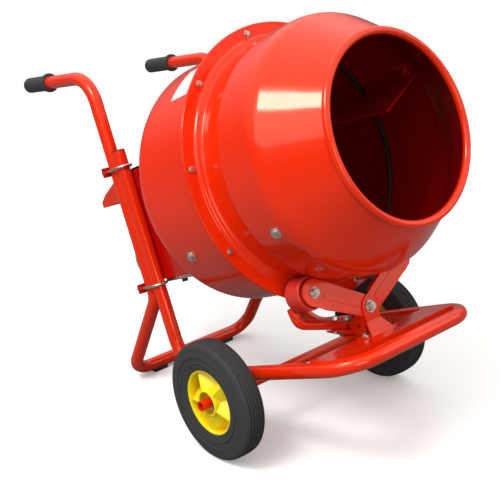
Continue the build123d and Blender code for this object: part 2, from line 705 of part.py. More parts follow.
def drum_shells():
    """Front shell and rear bowl, flanged and bolted over a rubber seal."""
    def front_lines():
        outer, mouth = front_skin(0)
        inner, lip = front_skin(SHEET)
        Line(mouth, lip)
        Polyline(outer, drum_point(FLANGE_FACE, FLANGE_R), drum_point(SEAL_T / 2, FLANGE_R),
                 drum_point(SEAL_T / 2, NECK_R - SHEET), inner)

    def rear_lines():
        outer, hole = rear_skin(0)
        inner, edge = rear_skin(SHEET)
        Line(hole, edge)
        Polyline(outer, drum_point(-FLANGE_FACE, FLANGE_R), drum_point(-SEAL_T / 2, FLANGE_R),
                 drum_point(-SEAL_T / 2, BOWL_R - SHEET), inner)

    def seal_lines():
        half = SEAL_T / 2
        Polyline(drum_point(half, FLANGE_R - 3), drum_point(-half, FLANGE_R - 3),
                 drum_point(-half, NECK_R - 10), drum_point(half, NECK_R - 10), close=True)

    with BuildPart() as shell:
        add(revolved(front_lines).part)
        with BuildSketch(side(0)):
            with Locations(drum_point(FRONT_DEPTH, MOUTH_R + 2)):
                Circle(BEAD_R)
        revolve(axis=Axis((0, 0, DRUM_Z), (0, 1, 0)))
    keep("drum_front_shell", shell)
    keep("drum_rear_bowl", revolved(rear_lines))
    keep("drum_seal", revolved(seal_lines))

    y = FLANGE_Y
    bolts, nuts = [], []
    for step in range(FLANGE_BOLTS):
        turn = radians(step * 360 / FLANGE_BOLTS - 10.3)
        x, z = BOLT_CIRCLE_R * sin(turn), DRUM_Z + BOLT_CIRCLE_R * cos(turn)
        seat = Plane(origin=(x, y - SEAL_T / 2 - FLANGE_T, z), z_dir=(0, -1, 0))
        bolts.append(hex_head(seat, 10, 5, 7.5, 0, SEAL_T + 2 * FLANGE_T + 8, 3))
        rear = Plane(origin=(x, y + SEAL_T / 2 + FLANGE_T, z), z_dir=(0, 1, 0))
        with BuildPart() as nut:
            with BuildSketch(rear):
                RegularPolygon(5, 6, major_radius=False)
                Circle(3 + SNUG, mode=Mode.SUBTRACT)
            extrude(amount=5)
        nuts.append(nut)
    group("flange_bolts", bolts)
    group("flange_nuts", nuts)
    for name in ("drum_front_shell", "drum_rear_bowl", "drum_seal"):
        keep_cut(name, bolts)


def paddles():
    """Mixing blades standing on the drum wall, bolted through both shells."""
    start_y = FLANGE_Y - PADDLE_BOLT_FRONT - 30
    end_y = FLANGE_Y - PADDLE_BOLT_REAR + 45
    foot_r = TRACK_R - SHEET - 1
    spots = (FLANGE_Y - PADDLE_BOLT_FRONT, FRONT_R), (FLANGE_Y - PADDLE_BOLT_REAR, BOWL_R)
    blades, bolts = [], []
    for step in range(PADDLES):
        angle = PADDLE_ANGLE + step * 360 / PADDLES
        out = Vector(sin(radians(angle)), 0, cos(radians(angle)))
        around = Vector(cos(radians(angle)), 0, -sin(radians(angle)))
        origin = Vector(0, 0, DRUM_Z) + around * PADDLE_OFFSET
        plane = Plane(origin=origin, x_dir=(0, 1, 0), z_dir=around)
        up = 1 if plane.y_dir.dot(out) > 0 else -1
        with BuildPart() as blade:
            with BuildSketch(plane):
                with BuildLine():
                    Polyline((start_y, up * foot_r), (start_y, up * (foot_r - PADDLE_FRONT_H)),
                             (end_y - 60, up * (foot_r - PADDLE_REAR_H)),
                             (end_y, up * (foot_r - PADDLE_END_H)), (end_y, up * foot_r), close=True)
                make_face()
            extrude(amount=PADDLE_T)
            for bolt_y, wall_r in spots:
                lug = wall_r - SHEET - 1
                centre = Vector(0, bolt_y, DRUM_Z) + out * lug
                with Locations(Plane(origin=centre, x_dir=(0, 1, 0), z_dir=out)):
                    Box(34, 44, 4, align=(Align.CENTER, Align.CENTER, Align.MAX))
                stem = Vector(0, bolt_y, DRUM_Z) + out * foot_r + around * (PADDLE_OFFSET + PADDLE_T / 2)
                with Locations(Plane(origin=stem, x_dir=(0, 1, 0), z_dir=out)):
                    Box(34, PADDLE_T, lug - foot_r, align=(Align.CENTER, Align.CENTER, Align.MIN))
        blades.append(blade)
        for bolt_y, wall_r in spots:
            seat = Plane(origin=Vector(0, bolt_y, DRUM_Z) + out * (wall_r + 0.3), z_dir=out)
            bolts.append(hex_head(seat, 17, 7, 14, 0, SHEET + 14, 5))
    group("mixing_paddles", blades)
    group("paddle_bolts", bolts)
    for name in ("mixing_paddles", "drum_front_shell", "drum_rear_bowl"):
        keep_cut(name, bolts)


# ======================================= drive ==========================================
def drum_shaft():
    """Hub plate on the bowl's back and the shaft that carries drum and gear."""
    back = FLANGE_Y + BOWL_DEPTH
    with BuildPart() as hub:
        with BuildSketch(level(back)):
            with Locations((0, DRUM_Z)):
                Circle(HUB_PLATE_R)
                Circle(SHAFT_R + SNUG / 2, mode=Mode.SUBTRACT)
        extrude(amount=-HUB_PLATE_T)
        with BuildSketch(level(back + HUB_PLATE_T)):
            with Locations((0, DRUM_Z)):
                Circle(SHAFT_R + 14)
                Circle(SHAFT_R + SNUG / 2, mode=Mode.SUBTRACT)
        extrude(amount=-(HOUSING_FRONT - back - HUB_PLATE_T - 3))
    keep("drum_hub", hub)
    bolts = []
    for step in range(6):
        turn = radians(60 * step)
        x, z = (HUB_PLATE_R - 20) * sin(turn), DRUM_Z + (HUB_PLATE_R - 20) * cos(turn)
        seat = Plane(origin=(x, back + HUB_PLATE_T, z), z_dir=(0, 1, 0))
        bolts.append(hex_head(seat, 13, 6, 0, 0, HUB_PLATE_T + SHEET + 6, 4))
    group("hub_bolts", bolts)
    keep_cut("drum_hub", bolts)
    keep_cut("drum_rear_bowl", bolts)
    keep("drum_shaft", bar((0, back - 10, DRUM_Z), (0, HOUSING_BACK - 6, DRUM_Z), SHAFT_R))


def bearing_set():
    """Plain bearing rings and the housings that hold them on the front wall and rear cover."""
    rings, blocks = [], []
    wall_in = HOUSING_FRONT + HOUSING_SHEET
    for x, z, radius in ((0, DRUM_Z, SHAFT_R), (LAYSHAFT_X, LAYSHAFT_Z, LAYSHAFT_R)):
        for start in (wall_in, HOUSING_BACK - BEARING_W):
            end = start + BEARING_W
            outer = radius + BEARING_WALL * radius / SHAFT_R
            rings.append(bar((x, start, z), (x, end, z), outer, radius + RUNNING))
            blocks.append(bar((x, start, z), (x, end, z), outer + 8, outer + SNUG / 2))
    group("shaft_bearings", rings)
    group("bearing_housings", blocks)


def toothed(teeth, y, x, z, bore, phase):
    """Spur gear with straight-sided teeth, slimmed so that a turning pair never touches."""
    pitch_r = MODULE * teeth / 2
    root = pitch_r - 1.25 * MODULE
    tip = pitch_r + 0.8 * MODULE
    with BuildPart() as gear:
        with BuildSketch(level(y)):
            with Locations((x, z)):
                Circle(root)
            for step in range(teeth):
                with Locations(Location((x, z, 0), (0, 0, 1), phase + step * 360 / teeth)):
                    with Locations(((root + tip) / 2 - 0.5, 0)):
                        Rectangle(tip - root + 1, MODULE * 1.05)
            with Locations((x, z)):
                Circle(bore, mode=Mode.SUBTRACT)
        extrude(amount=-GEAR_W)
    return gear


def gears():
    keep("drum_gear", toothed(GEAR_TEETH, GEAR_Y, 0, DRUM_Z, SHAFT_R + SNUG / 2, MESH_ANGLE))
    phase = MESH_ANGLE + 180 + 180 / PINION_TEETH
    keep("pinion", toothed(PINION_TEETH, GEAR_Y, LAYSHAFT_X, LAYSHAFT_Z, LAYSHAFT_R + SNUG / 2, phase))
    front = HOUSING_FRONT + HOUSING_SHEET + 2
    ends = (LAYSHAFT_X, front, LAYSHAFT_Z), (LAYSHAFT_X, HOUSING_BACK - 2, LAYSHAFT_Z)
    keep("layshaft", bar(*ends, LAYSHAFT_R))


def pulley(x, z, radius, bore):
    """Belt pulley with a square-bottomed groove."""
    floor = radius - BELT_T - 1
    with BuildPart() as wheel:
        with BuildSketch(side(x)):
            with BuildLine():
                middle = PULLEY_Y + PULLEY_W / 2
                half = BELT_W / 2 + 0.8
                Polyline((PULLEY_Y, z + bore), (PULLEY_Y, z + radius), (middle - half, z + radius),
                         (middle - half, z + floor), (middle + half, z + floor), (middle + half, z + radius),
                         (PULLEY_Y + PULLEY_W, z + radius), (PULLEY_Y + PULLEY_W, z + bore), close=True)
            make_face()
        revolve(axis=Axis((x, 0, z), (0, 1, 0)))
    return wheel


def belt_drive():
    keep("layshaft_pulley", pulley(LAYSHAFT_X, LAYSHAFT_Z, PULLEY_LARGE_R, LAYSHAFT_R + SNUG / 2))
    keep("motor_pulley", pulley(MOTOR_X, MOTOR_Z, PULLEY_SMALL_R, MOTOR_SHAFT_R + SNUG / 2))
    middle = PULLEY_Y + PULLEY_W / 2
    wraps = []
    for grow in (BELT_T, 0):
        with BuildSketch(level(middle - BELT_W / 2)) as wrap:
            for x, z, radius in ((LAYSHAFT_X, LAYSHAFT_Z, PULLEY_LARGE_R), (MOTOR_X, MOTOR_Z, PULLEY_SMALL_R)):
                with Locations((x, z)):
                    Circle(radius - BELT_T - 1 + FREE + grow)
            make_hull()
        wraps.append(wrap)
    with BuildPart() as belt:
        extrude(wraps[0].sketch, amount=-BELT_W)
        extrude(wraps[1].sketch, amount=-BELT_W, mode=Mode.SUBTRACT)
    keep("drive_belt", belt)


def housing():
    """Folded steel box between the main tubes, its rear cover and galvanised bottom rail."""
    half = TUBE_X - TUBE_D / 2 - 0.5
    depth = HOUSING_BACK - HOUSING_FRONT
    low = (Align.CENTER, Align.MIN, Align.MIN)
    sheet = HOUSING_SHEET
    with BuildPart() as box:
        with Locations((0, HOUSING_FRONT, HOUSING_LOW)):
            Box(2 * half, depth, HOUSING_TOP - HOUSING_LOW, align=low)
        fillet(box.edges().filter_by(Axis.Y).group_by(Axis.Z)[-1], 14)
        with Locations((0, HOUSING_FRONT + sheet, HOUSING_LOW + sheet)):
            Box(2 * (half - sheet), depth, HOUSING_TOP - HOUSING_LOW - 2 * sheet, align=low,
                mode=Mode.SUBTRACT)
        for way in (-1, 1):
            with Locations((way * half, HOUSING_FRONT, HOUSING_SEAM)):
                Box(1.6, depth, 2.4, align=low, mode=Mode.SUBTRACT)
        with Locations(Plane(origin=(0, HOUSING_FRONT, DRUM_Z), z_dir=(0, 1, 0))):
            Cylinder(SHAFT_R + 3, 4 * sheet, mode=Mode.SUBTRACT)
    keep("drive_housing", box)

    with BuildPart() as cover:
        with Locations((0, HOUSING_BACK, HOUSING_LOW)):
            Box(2 * half, 2 * sheet, HOUSING_TOP - HOUSING_LOW, align=low)
        fillet(cover.edges().filter_by(Axis.Y).group_by(Axis.Z)[-1], 14)
        with Locations(Plane(origin=(MOTOR_X, HOUSING_BACK, MOTOR_Z), z_dir=(0, 1, 0))):
            Cylinder(MOTOR_SHAFT_R + 3, 8 * sheet, mode=Mode.SUBTRACT)
    keep("housing_rear_cover", cover)
    screws = []
    for x in (-half + SCREW_INSET, half - SCREW_INSET):
        for z in (HOUSING_LOW + SCREW_INSET, HOUSING_SEAM + 20, HOUSING_TOP - SCREW_INSET - 6):
            seat = Plane(origin=(x, HOUSING_BACK + 2 * sheet, z), z_dir=(0, 1, 0))
            screws.append(hex_head(seat, 8, 4, 6, 0, 2 * sheet, 2.5))
    group("cover_screws", screws)
    keep_cut("housing_rear_cover", screws)

    rail_half = half - RAIL_INSET
    with BuildPart() as rail:
        with Locations((0, HOUSING_FRONT, HOUSING_LOW - RAIL_H)):
            Box(2 * rail_half, depth, RAIL_H, align=low)
        with Locations((0, HOUSING_FRONT, HOUSING_LOW - RAIL_H)):
            Box(2 * (rail_half - 4), depth, RAIL_H - 2, align=low, mode=Mode.SUBTRACT)
    keep("housing_bottom_rail", rail)

    gland_x, gland_y = -rail_half + 18, HOUSING_BACK - 60
    with BuildPart(Plane(origin=(gland_x, gland_y, HOUSING_LOW - 2), z_dir=(0, 0, -1))) as gland:
        Cylinder(11, 9, align=(Align.CENTER, Align.CENTER, Align.MIN))
        with Locations((0, 0, 9)):
            Cylinder(8, 9, align=(Align.CENTER, Align.CENTER, Align.MIN))
        Cylinder(4.5, 18, align=(Align.CENTER, Align.CENTER, Align.MIN), mode=Mode.SUBTRACT)
    keep("cable_gland", gland)


def hood():
    """Sheet hood that keeps rain off the motor and switch, open underneath."""
    start = HOUSING_BACK + 2 * HOUSING_SHEET
    with BuildPart() as cowl:
        for half, inset, mode in ((HOOD_HALF, 0, Mode.ADD), (HOOD_HALF - HOOD_T, HOOD_T, Mode.SUBTRACT)):
            with BuildSketch(side(-half)):
                with BuildLine():
                    Polyline(*[(start + y - (inset if y else 0), z - inset) for y, z in HOOD_PROFILE],
                             close=True)
                make_face()
            extrude(amount=2 * half, mode=mode)
    keep("motor_hood", cowl)


def motor():
    """Finned motor on the rear cover, with its shaft, cooling fan and fan cowl."""
    start = HOUSING_BACK + 2 * HOUSING_SHEET
    end = start + MOTOR_LEN
    with BuildPart() as body:
        with BuildSketch(level(start)):
            with Locations((MOTOR_X, MOTOR_Z)):
                Circle(MOTOR_R)
                with PolarLocations(MOTOR_R + MOTOR_FIN / 2 - 1, 24):
                    Rectangle(MOTOR_FIN + 2, 3)
                Circle(MOTOR_SHAFT_R + FREE, mode=Mode.SUBTRACT)
        extrude(amount=-MOTOR_LEN)
        with BuildSketch(level(start)):
            with Locations((MOTOR_X, MOTOR_Z)):
                Circle(MOTOR_R + MOTOR_FIN + 1)
                Circle(MOTOR_SHAFT_R + FREE, mode=Mode.SUBTRACT)
        extrude(amount=-14)
    keep("motor_body", body)

    outer = MOTOR_R + MOTOR_FIN + 2
    with BuildPart() as cowl:
        with BuildSketch(level(end)):
            with Locations((MOTOR_X, MOTOR_Z)):
                Circle(outer)
                Circle(outer - 2, mode=Mode.SUBTRACT)
        extrude(amount=-FAN_COVER_LEN)
        with BuildSketch(level(end + FAN_COVER_LEN - 2)):
            with Locations((MOTOR_X, MOTOR_Z)):
                Circle(outer - 1)
                with PolarLocations(38, 12):
                    SlotOverall(34, 9, mode=Mode.SUBTRACT)
        extrude(amount=-2)
        with BuildSketch(level(end)):
            with Locations((MOTOR_X, MOTOR_Z)):
                Circle(outer - 1)
                Circle(MOTOR_R - 4, mode=Mode.SUBTRACT)
        extrude(amount=-3)
    keep("fan_cover", cowl)

    with BuildPart() as fan:
        with BuildSketch(level(end + 12)):
            with Locations((MOTOR_X, MOTOR_Z)):
                Circle(18)
                with PolarLocations(34, 8):
                    Rectangle(40, 3)
                Circle(MOTOR_SHAFT_R + SNUG / 2, mode=Mode.SUBTRACT)
        extrude(amount=-26)
    keep("cooling_fan", fan)
    ends = (MOTOR_X, PULLEY_Y - 4, MOTOR_Z), (MOTOR_X, end + 44, MOTOR_Z)
    keep("motor_shaft", bar(*ends, MOTOR_SHAFT_R))


def switch():
    """Switch box on the rear cover with a start and a stop button."""
    start = HOUSING_BACK + 2 * HOUSING_SHEET
    rear = start + SWITCH_D
    spots = {"start_button": SWITCH_X - BUTTON_GAP / 2, "stop_button": SWITCH_X + BUTTON_GAP / 2}
    with BuildPart() as case:
        with Locations((SWITCH_X, start, SWITCH_Z)):
            Box(SWITCH_W, SWITCH_D, SWITCH_H, align=(Align.CENTER, Align.MIN, Align.CENTER))
        fillet(case.edges().filter_by(Axis.Y), 6)
        for x in spots.values():
            with Locations(Plane(origin=(x, rear, SWITCH_Z), z_dir=(0, 1, 0))):
                Cylinder(BUTTON_R + FREE, 40, mode=Mode.SUBTRACT)
    keep("switch_box", case)
    for name, x in spots.items():
        seat = Plane(origin=(x, rear - 12, SWITCH_Z), z_dir=(0, 1, 0))
        with BuildPart(seat) as button:
            Cylinder(BUTTON_R, 12 + BUTTON_OUT, align=(Align.CENTER, Align.CENTER, Align.MIN))
            fillet(button.edges().filter_by(GeomType.CIRCLE).group_by(Axis.Y)[-1], 1.5)
        keep(name, button)


frame_tubes()
grips()
clamps()
foot_pads()
axle()
wheels()
cross_channel()
roller_arms()
group("cradle_bolts", centre_bracket() + rollers() + yoke())
drum_shells()
paddles()
drum_shaft()
bearing_set()
gears()
belt_drive()
housing()
hood()
motor()
switch()

# Lean everything back about the axle, stand it on Z = 0 and centre its length on Y = 0.
stance = Location((0, 0, WHEEL_R), (-LEAN, 0, 0))
for piece in pieces.values():
    piece.part = piece.part.moved(stance)
ends = [piece.part.bounding_box() for piece in pieces.values()]
middle_y = (min(box.min.Y for box in ends) + max(box.max.Y for box in ends)) / 2
for label, piece in pieces.items():
    piece.part = piece.part.moved(Location((0, -middle_y, 0)))
    piece.part.label = label
    export_step(piece.part, f"parts/{label}.step")
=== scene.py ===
"""Looks for a portable drum mixer: smooth enamelled skins, ribbed tyres, moulded rims and studio light.

Every new surface is drawn in the level frame, where the drum axis lies along -Y and the wheel
axle is the origin, and place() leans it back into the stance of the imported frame.
"""
import json
import math

import bpy
import numpy as np
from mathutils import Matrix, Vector


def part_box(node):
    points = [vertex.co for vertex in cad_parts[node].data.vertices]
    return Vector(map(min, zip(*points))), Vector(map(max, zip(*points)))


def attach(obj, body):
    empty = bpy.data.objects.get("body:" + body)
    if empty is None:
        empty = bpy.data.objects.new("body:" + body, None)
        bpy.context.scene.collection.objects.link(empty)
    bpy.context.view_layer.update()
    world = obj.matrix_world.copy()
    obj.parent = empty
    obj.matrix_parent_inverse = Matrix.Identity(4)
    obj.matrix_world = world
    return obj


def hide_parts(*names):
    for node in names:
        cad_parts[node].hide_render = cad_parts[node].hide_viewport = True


bl_info = {
    "name": "Drum mixer looks",
    "version": (1, 0, 0),
    "blender": (4, 5, 0),
    "location": "View3D > Sidebar > Mixer",
    "description": "Surfaces, finishes and studio for a portable drum mixer",
    "category": "Object",
}

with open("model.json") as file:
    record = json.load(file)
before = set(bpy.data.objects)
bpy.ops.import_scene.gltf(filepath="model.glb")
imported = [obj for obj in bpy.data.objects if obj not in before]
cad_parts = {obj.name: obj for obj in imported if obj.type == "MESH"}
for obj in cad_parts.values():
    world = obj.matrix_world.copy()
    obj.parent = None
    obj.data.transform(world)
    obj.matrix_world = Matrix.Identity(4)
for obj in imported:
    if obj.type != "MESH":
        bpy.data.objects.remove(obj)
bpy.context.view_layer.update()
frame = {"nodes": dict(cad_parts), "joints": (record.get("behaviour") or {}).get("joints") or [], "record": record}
SPIN = {joint["name"]: joint for joint in frame["joints"]}

_drum_axis = Vector(SPIN["drum_spin"]["axis"]).normalized()
LEAN = math.atan2(_drum_axis.z, -_drum_axis.y)
_left_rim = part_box("wheel_rim_left")
_right_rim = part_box("wheel_rim_right")
AXLE_Y = (_left_rim[0].y + _left_rim[1].y) / 2
AXLE_Z = (_left_rim[0].z + _left_rim[1].z) / 2
WHEEL_X = (_right_rim[0].x + _right_rim[1].x) / 2
TYRE_R = (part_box("tyre_left")[1].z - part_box("tyre_left")[0].z) / 2
TYRE_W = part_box("tyre_left")[1].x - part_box("tyre_left")[0].x

SIDES = (("left", -1), ("right", 1))
SIDEWALL_RINGS = (0.1172, 0.1015)       # radii of the raised rings on a tyre's sidewall
DRUM_STEPS = 288                        # steps round the drum's shells and seal


# ======================================= settings =======================================
def length(name, default, text):
    """One distance in metres that a user may change."""
    return bpy.props.FloatProperty(name=name, description=text, default=default, unit="LENGTH", precision=4)


def colour(name, default, text):
    """One paint or plastic colour, linear red, green and blue."""
    return bpy.props.FloatVectorProperty(name=name, description=text, default=default, subtype="COLOR",
                                         size=3, min=0.0, max=1.0)


class MixerDrum(bpy.types.PropertyGroup):
    """Sizes of the drum's two shells."""
    axis_height: length("Axis height", 0.4975, "Drum axis above the axle in the level frame")
    flange_y: length("Flange place", -0.212, "Plane between the two shells")
    flange_face: length("Flange face", 0.004, "From that plane to a flange's outer face")
    flange_gap: length("Flange gap", 0.001, "From that plane to a flange's inner face")
    flange_radius: length("Flange radius", 0.343, "Outer edge of both flanges")
    neck_radius: length("Neck radius", 0.312, "Front shell where it leaves its flange")
    track_radius: length("Track radius", 0.295, "Track that runs on the rollers")
    track_end: length("Track end", 0.072, "Where the track steps up to the body")
    track_step: length("Track step", 0.009, "Length of that step")
    body_radius: length("Body radius", 0.302, "Front shell between track and shoulder")
    shoulder: length("Shoulder", 0.172, "Where the shoulder starts")
    shoulder_radius: length("Shoulder radius", 0.075, "Bend of the shoulder")
    mouth: length("Mouth depth", 0.331, "Plane of the mouth")
    mouth_radius: length("Mouth radius", 0.209, "Cone's edge at the mouth")
    bead_radius: length("Bead radius", 0.009, "Rolled bead round the mouth")
    bowl_radius: length("Bowl radius", 0.316, "Rear bowl's wall")
    bowl_depth: length("Bowl depth", 0.275, "From the flange plane to the bowl's back")
    bowl_corner: length("Bowl corner", 0.055, "Bend between wall and back")
    shaft_radius: length("Shaft hole", 0.0176, "Hole for the drum shaft")
    label_start: length("Label start", 0.133, "Rear edge of the label behind the flange plane")
    label_length: length("Label length", 0.082, "Along the bowl")
    label_from: bpy.props.FloatProperty(name="Label from", description="First edge, measured from the top",
                                        default=math.radians(-46.0), subtype="ANGLE")
    label_to: bpy.props.FloatProperty(name="Label to", description="Second edge, measured from the top",
                                      default=math.radians(-27.5), subtype="ANGLE")
    sheet: length("Sheet", 0.0025, "Steel thickness")


class MixerTubes(bpy.types.PropertyGroup):
    """Sizes of the bent frame tubes and grips."""
    radius: length("Tube radius", 0.018, "Outer radius of both frame tubes")
    wall: length("Tube wall", 0.002, "Steel thickness of the tubes")
    half_width: length("Half width", 0.217, "From the middle to a side tube")
    main_y: length("Main upright", 0.233, "Place of the main tube's uprights")
    main_top: length("Main top", 0.664, "Upper end of the main tube")
    loop_z: length("Loop height", 0.036, "Height of the front loop")
    loop_front: length("Loop front", 0.413, "Reach of the front loop")
    rear_bend: length("Rear bend", 0.110, "Bend from upright to loop")
    front_bend: length("Front bend", 0.085, "Corners of the front loop")
    handle_y: length("Handle upright", 0.2692, "Place of the handle tube's uprights")
    handle_top: length("Handle top", 0.879, "Corner below the grips")
    handle_rise: length("Handle rise", 0.073, "Rise from that corner to the grip's end")
    grip_y: length("Grip end", 0.6025, "Reach of the grips")
    handle_bend: length("Handle bend", 0.090, "Bend below the grips")
    leg_top: length("Leg knee", 0.258, "Knee where the leg splays")
    leg_knee: length("Knee bend", 0.045, "Bend of that knee")
    leg_back: length("Leg reach", 0.513, "Reach of the leg bar")
    leg_bend: length("Leg bend", 0.060, "Corners of the leg bar")
    pad: length("Pad", 0.005, "Rubber under the leg bar")
    grip_length: length("Grip length", 0.126, "Rubber grip on a handle")
    grip_radius: length("Grip radius", 0.022, "Outside of the grip")
    grip_flange: length("Grip flange", 0.027, "Radius of the hand-guard ring")
    grip_flange_t: length("Grip flange width", 0.012, "Width of the hand-guard ring")


class MixerWheels(bpy.types.PropertyGroup):
    """Sizes of the tyres, moulded rims and rollers."""
    grooves: bpy.props.IntProperty(name="Grooves", description="Grooves round the tread", default=5, min=1)
    groove_depth: length("Groove depth", 0.0032, "Depth of a groove")
    groove_width: length("Groove width", 0.0036, "Width of a groove at the tread")
    seat_radius: length("Seat radius", 0.082, "Inside of the tyre")
    rim_radius: length("Rim radius", 0.0855, "Edge of the moulded rim")
    hub_radius: length("Hub radius", 0.033, "Outside of the hub sleeve")
    hub_half: length("Hub half", 0.032, "Half the length of the hub sleeve")
    bore: length("Bore", 0.0171, "Hole for the bush")
    cup_radius: length("Cup radius", 0.0285, "Recess in the hub's outer end")
    cup_depth: length("Cup depth", 0.018, "Depth of that recess")
    ribs: bpy.props.IntProperty(name="Ribs", description="Ribs on each side of a rim", default=5, min=3)
    rib_turn: bpy.props.FloatProperty(name="Rib turn", description="First rib's angle behind the top",
                                      default=math.radians(34.0), subtype="ANGLE")
    rib_half: length("Rib half width", 0.0010, "Half width of a rib's crest")
    rib_draft: bpy.props.FloatProperty(name="Rib draft", description="Rise of a rib's flank over its run",
                                       default=0.95, min=0.5)
    roller_angle: bpy.props.FloatProperty(name="Roller angle", description="Rollers' place round the track",
                                          default=math.radians(26.7), subtype="ANGLE")
    roller_radius: length("Roller radius", 0.040, "Outside of a roller")
    roller_length: length("Roller length", 0.048, "Width of a roller")
    roller_back: length("Roller back", -0.234, "Rear face of the rollers")
    roller_bore: length("Roller bore", 0.01206, "Hole for the bush")


class MixerFinish(bpy.types.PropertyGroup):
    """Colours of the finishes."""
    enamel: colour("Enamel", (0.80, 0.022, 0.0008), "Red-orange enamel")
    enamel_deep: colour("Deep enamel", (0.50, 0.002, 0.001), "Darker red enamel")
    # Drum interior: a darker red that stands in for the shade inside the drum (painted shade).
    interior: colour("Drum interior", (0.27, 0.0016, 0.0008), "Primer inside the drum")
    rubber: colour("Rubber", (0.030, 0.031, 0.031), "Tyres")
    grip: colour("Grip rubber", (0.028, 0.034, 0.032), "Grips, pads and plugs")
    yellow: colour("Rim yellow", (0.98, 0.84, 0.010), "Moulded rims")
    zinc: colour("Zinc", (0.62, 0.62, 0.60), "Plated fasteners")
    motor: colour("Motor enamel", (0.27, 0.30, 0.30), "Motor castings")
    label: colour("Label", (0.86, 0.84, 0.86), "Blank sticker on the bowl")


class MixerStudio(bpy.types.PropertyGroup):
    """Camera and lights."""
    azimuth: bpy.props.FloatProperty(name="Azimuth", description="Camera's turn left of the front",
                                     default=math.radians(-39.90), subtype="ANGLE")
    elevation: bpy.props.FloatProperty(name="Elevation", description="Camera's height angle",
                                       default=math.radians(18.63), subtype="ANGLE")
    roll: bpy.props.FloatProperty(name="Roll", description="Camera's tilt", default=math.radians(-3.69),
                                  subtype="ANGLE")
    distance: length("Distance", 2.46946, "Camera to target")
    target: bpy.props.FloatVectorProperty(name="Target", description="Point that the camera faces",
                                          default=(0.0361, AXLE_Y + 0.23269, 0.4160), size=3,
                                          subtype="XYZ", unit="LENGTH")
    lens: bpy.props.FloatProperty(name="Lens", description="Focal length on a 36 mm sensor, in millimetres",
                                  default=64.65, min=10.0)
    key: bpy.props.FloatProperty(name="Key light", description="Power of the window light", default=55.0,
                                 unit="POWER")
    sky: bpy.props.FloatProperty(name="Sky", description="Strength of the overhead light",
                                 default=1.0, min=0.0)
    floor: colour("Floor", (0.93, 0.93, 0.93), "Plain pale floor")


GROUPS = {"mixer_drum": MixerDrum, "mixer_tubes": MixerTubes, "mixer_wheels": MixerWheels,
          "mixer_finish": MixerFinish, "mixer_studio": MixerStudio}


# ======================================= surfaces =======================================
def place(points):
    """Turn level-frame points about the axle by the lean and move them to the axle's place."""
    points = np.asarray(points, float)
    x, y, z = points[..., 0], points[..., 1], points[..., 2]
    lean_y = y * math.cos(LEAN) + z * math.sin(LEAN) + AXLE_Y
    lean_z = z * math.cos(LEAN) - y * math.sin(LEAN) + AXLE_Z
    return np.stack([x, lean_y, lean_z], axis=-1)


def arc(centre, radius, start, end, count):
    """Points on a circle: centre + radius (cos a, sin a), for angle a in degrees from start to end."""
    angle = np.radians(np.linspace(start, end, count))
    return np.stack([centre[0] + radius * np.cos(angle), centre[1] + radius * np.sin(angle)], axis=-1)


def line(start, end, count):
    """Evenly spaced points on a straight line between two points."""
    return np.linspace(start, end, count)


def curve(a, b, c, d, count):
    """Cubic curve: the four points weighted by the Bernstein polynomials of t from 0 to 1."""
    t = np.linspace(0, 1, count)[:, None]
    a, b, c, d = (np.asarray(p, float) for p in (a, b, c, d))
    return (1 - t) ** 3 * a + 3 * t * (1 - t) ** 2 * b + 3 * t ** 2 * (1 - t) * c + t ** 3 * d


def joined(*runs):
    """One profile from several runs, without the points that repeat where they meet."""
    points = np.concatenate([np.atleast_2d(run) for run in runs])
    keep = np.ones(len(points), bool)
    keep[1:] = np.linalg.norm(np.diff(points, axis=0), axis=1) > 1e-6
    return points[keep]


def smooth(low, high, value):
    """Smooth step from 0 at low to 1 at high."""
    t = np.clip((value - low) / (high - low), 0, 1)
    return t * t * (3 - 2 * t)


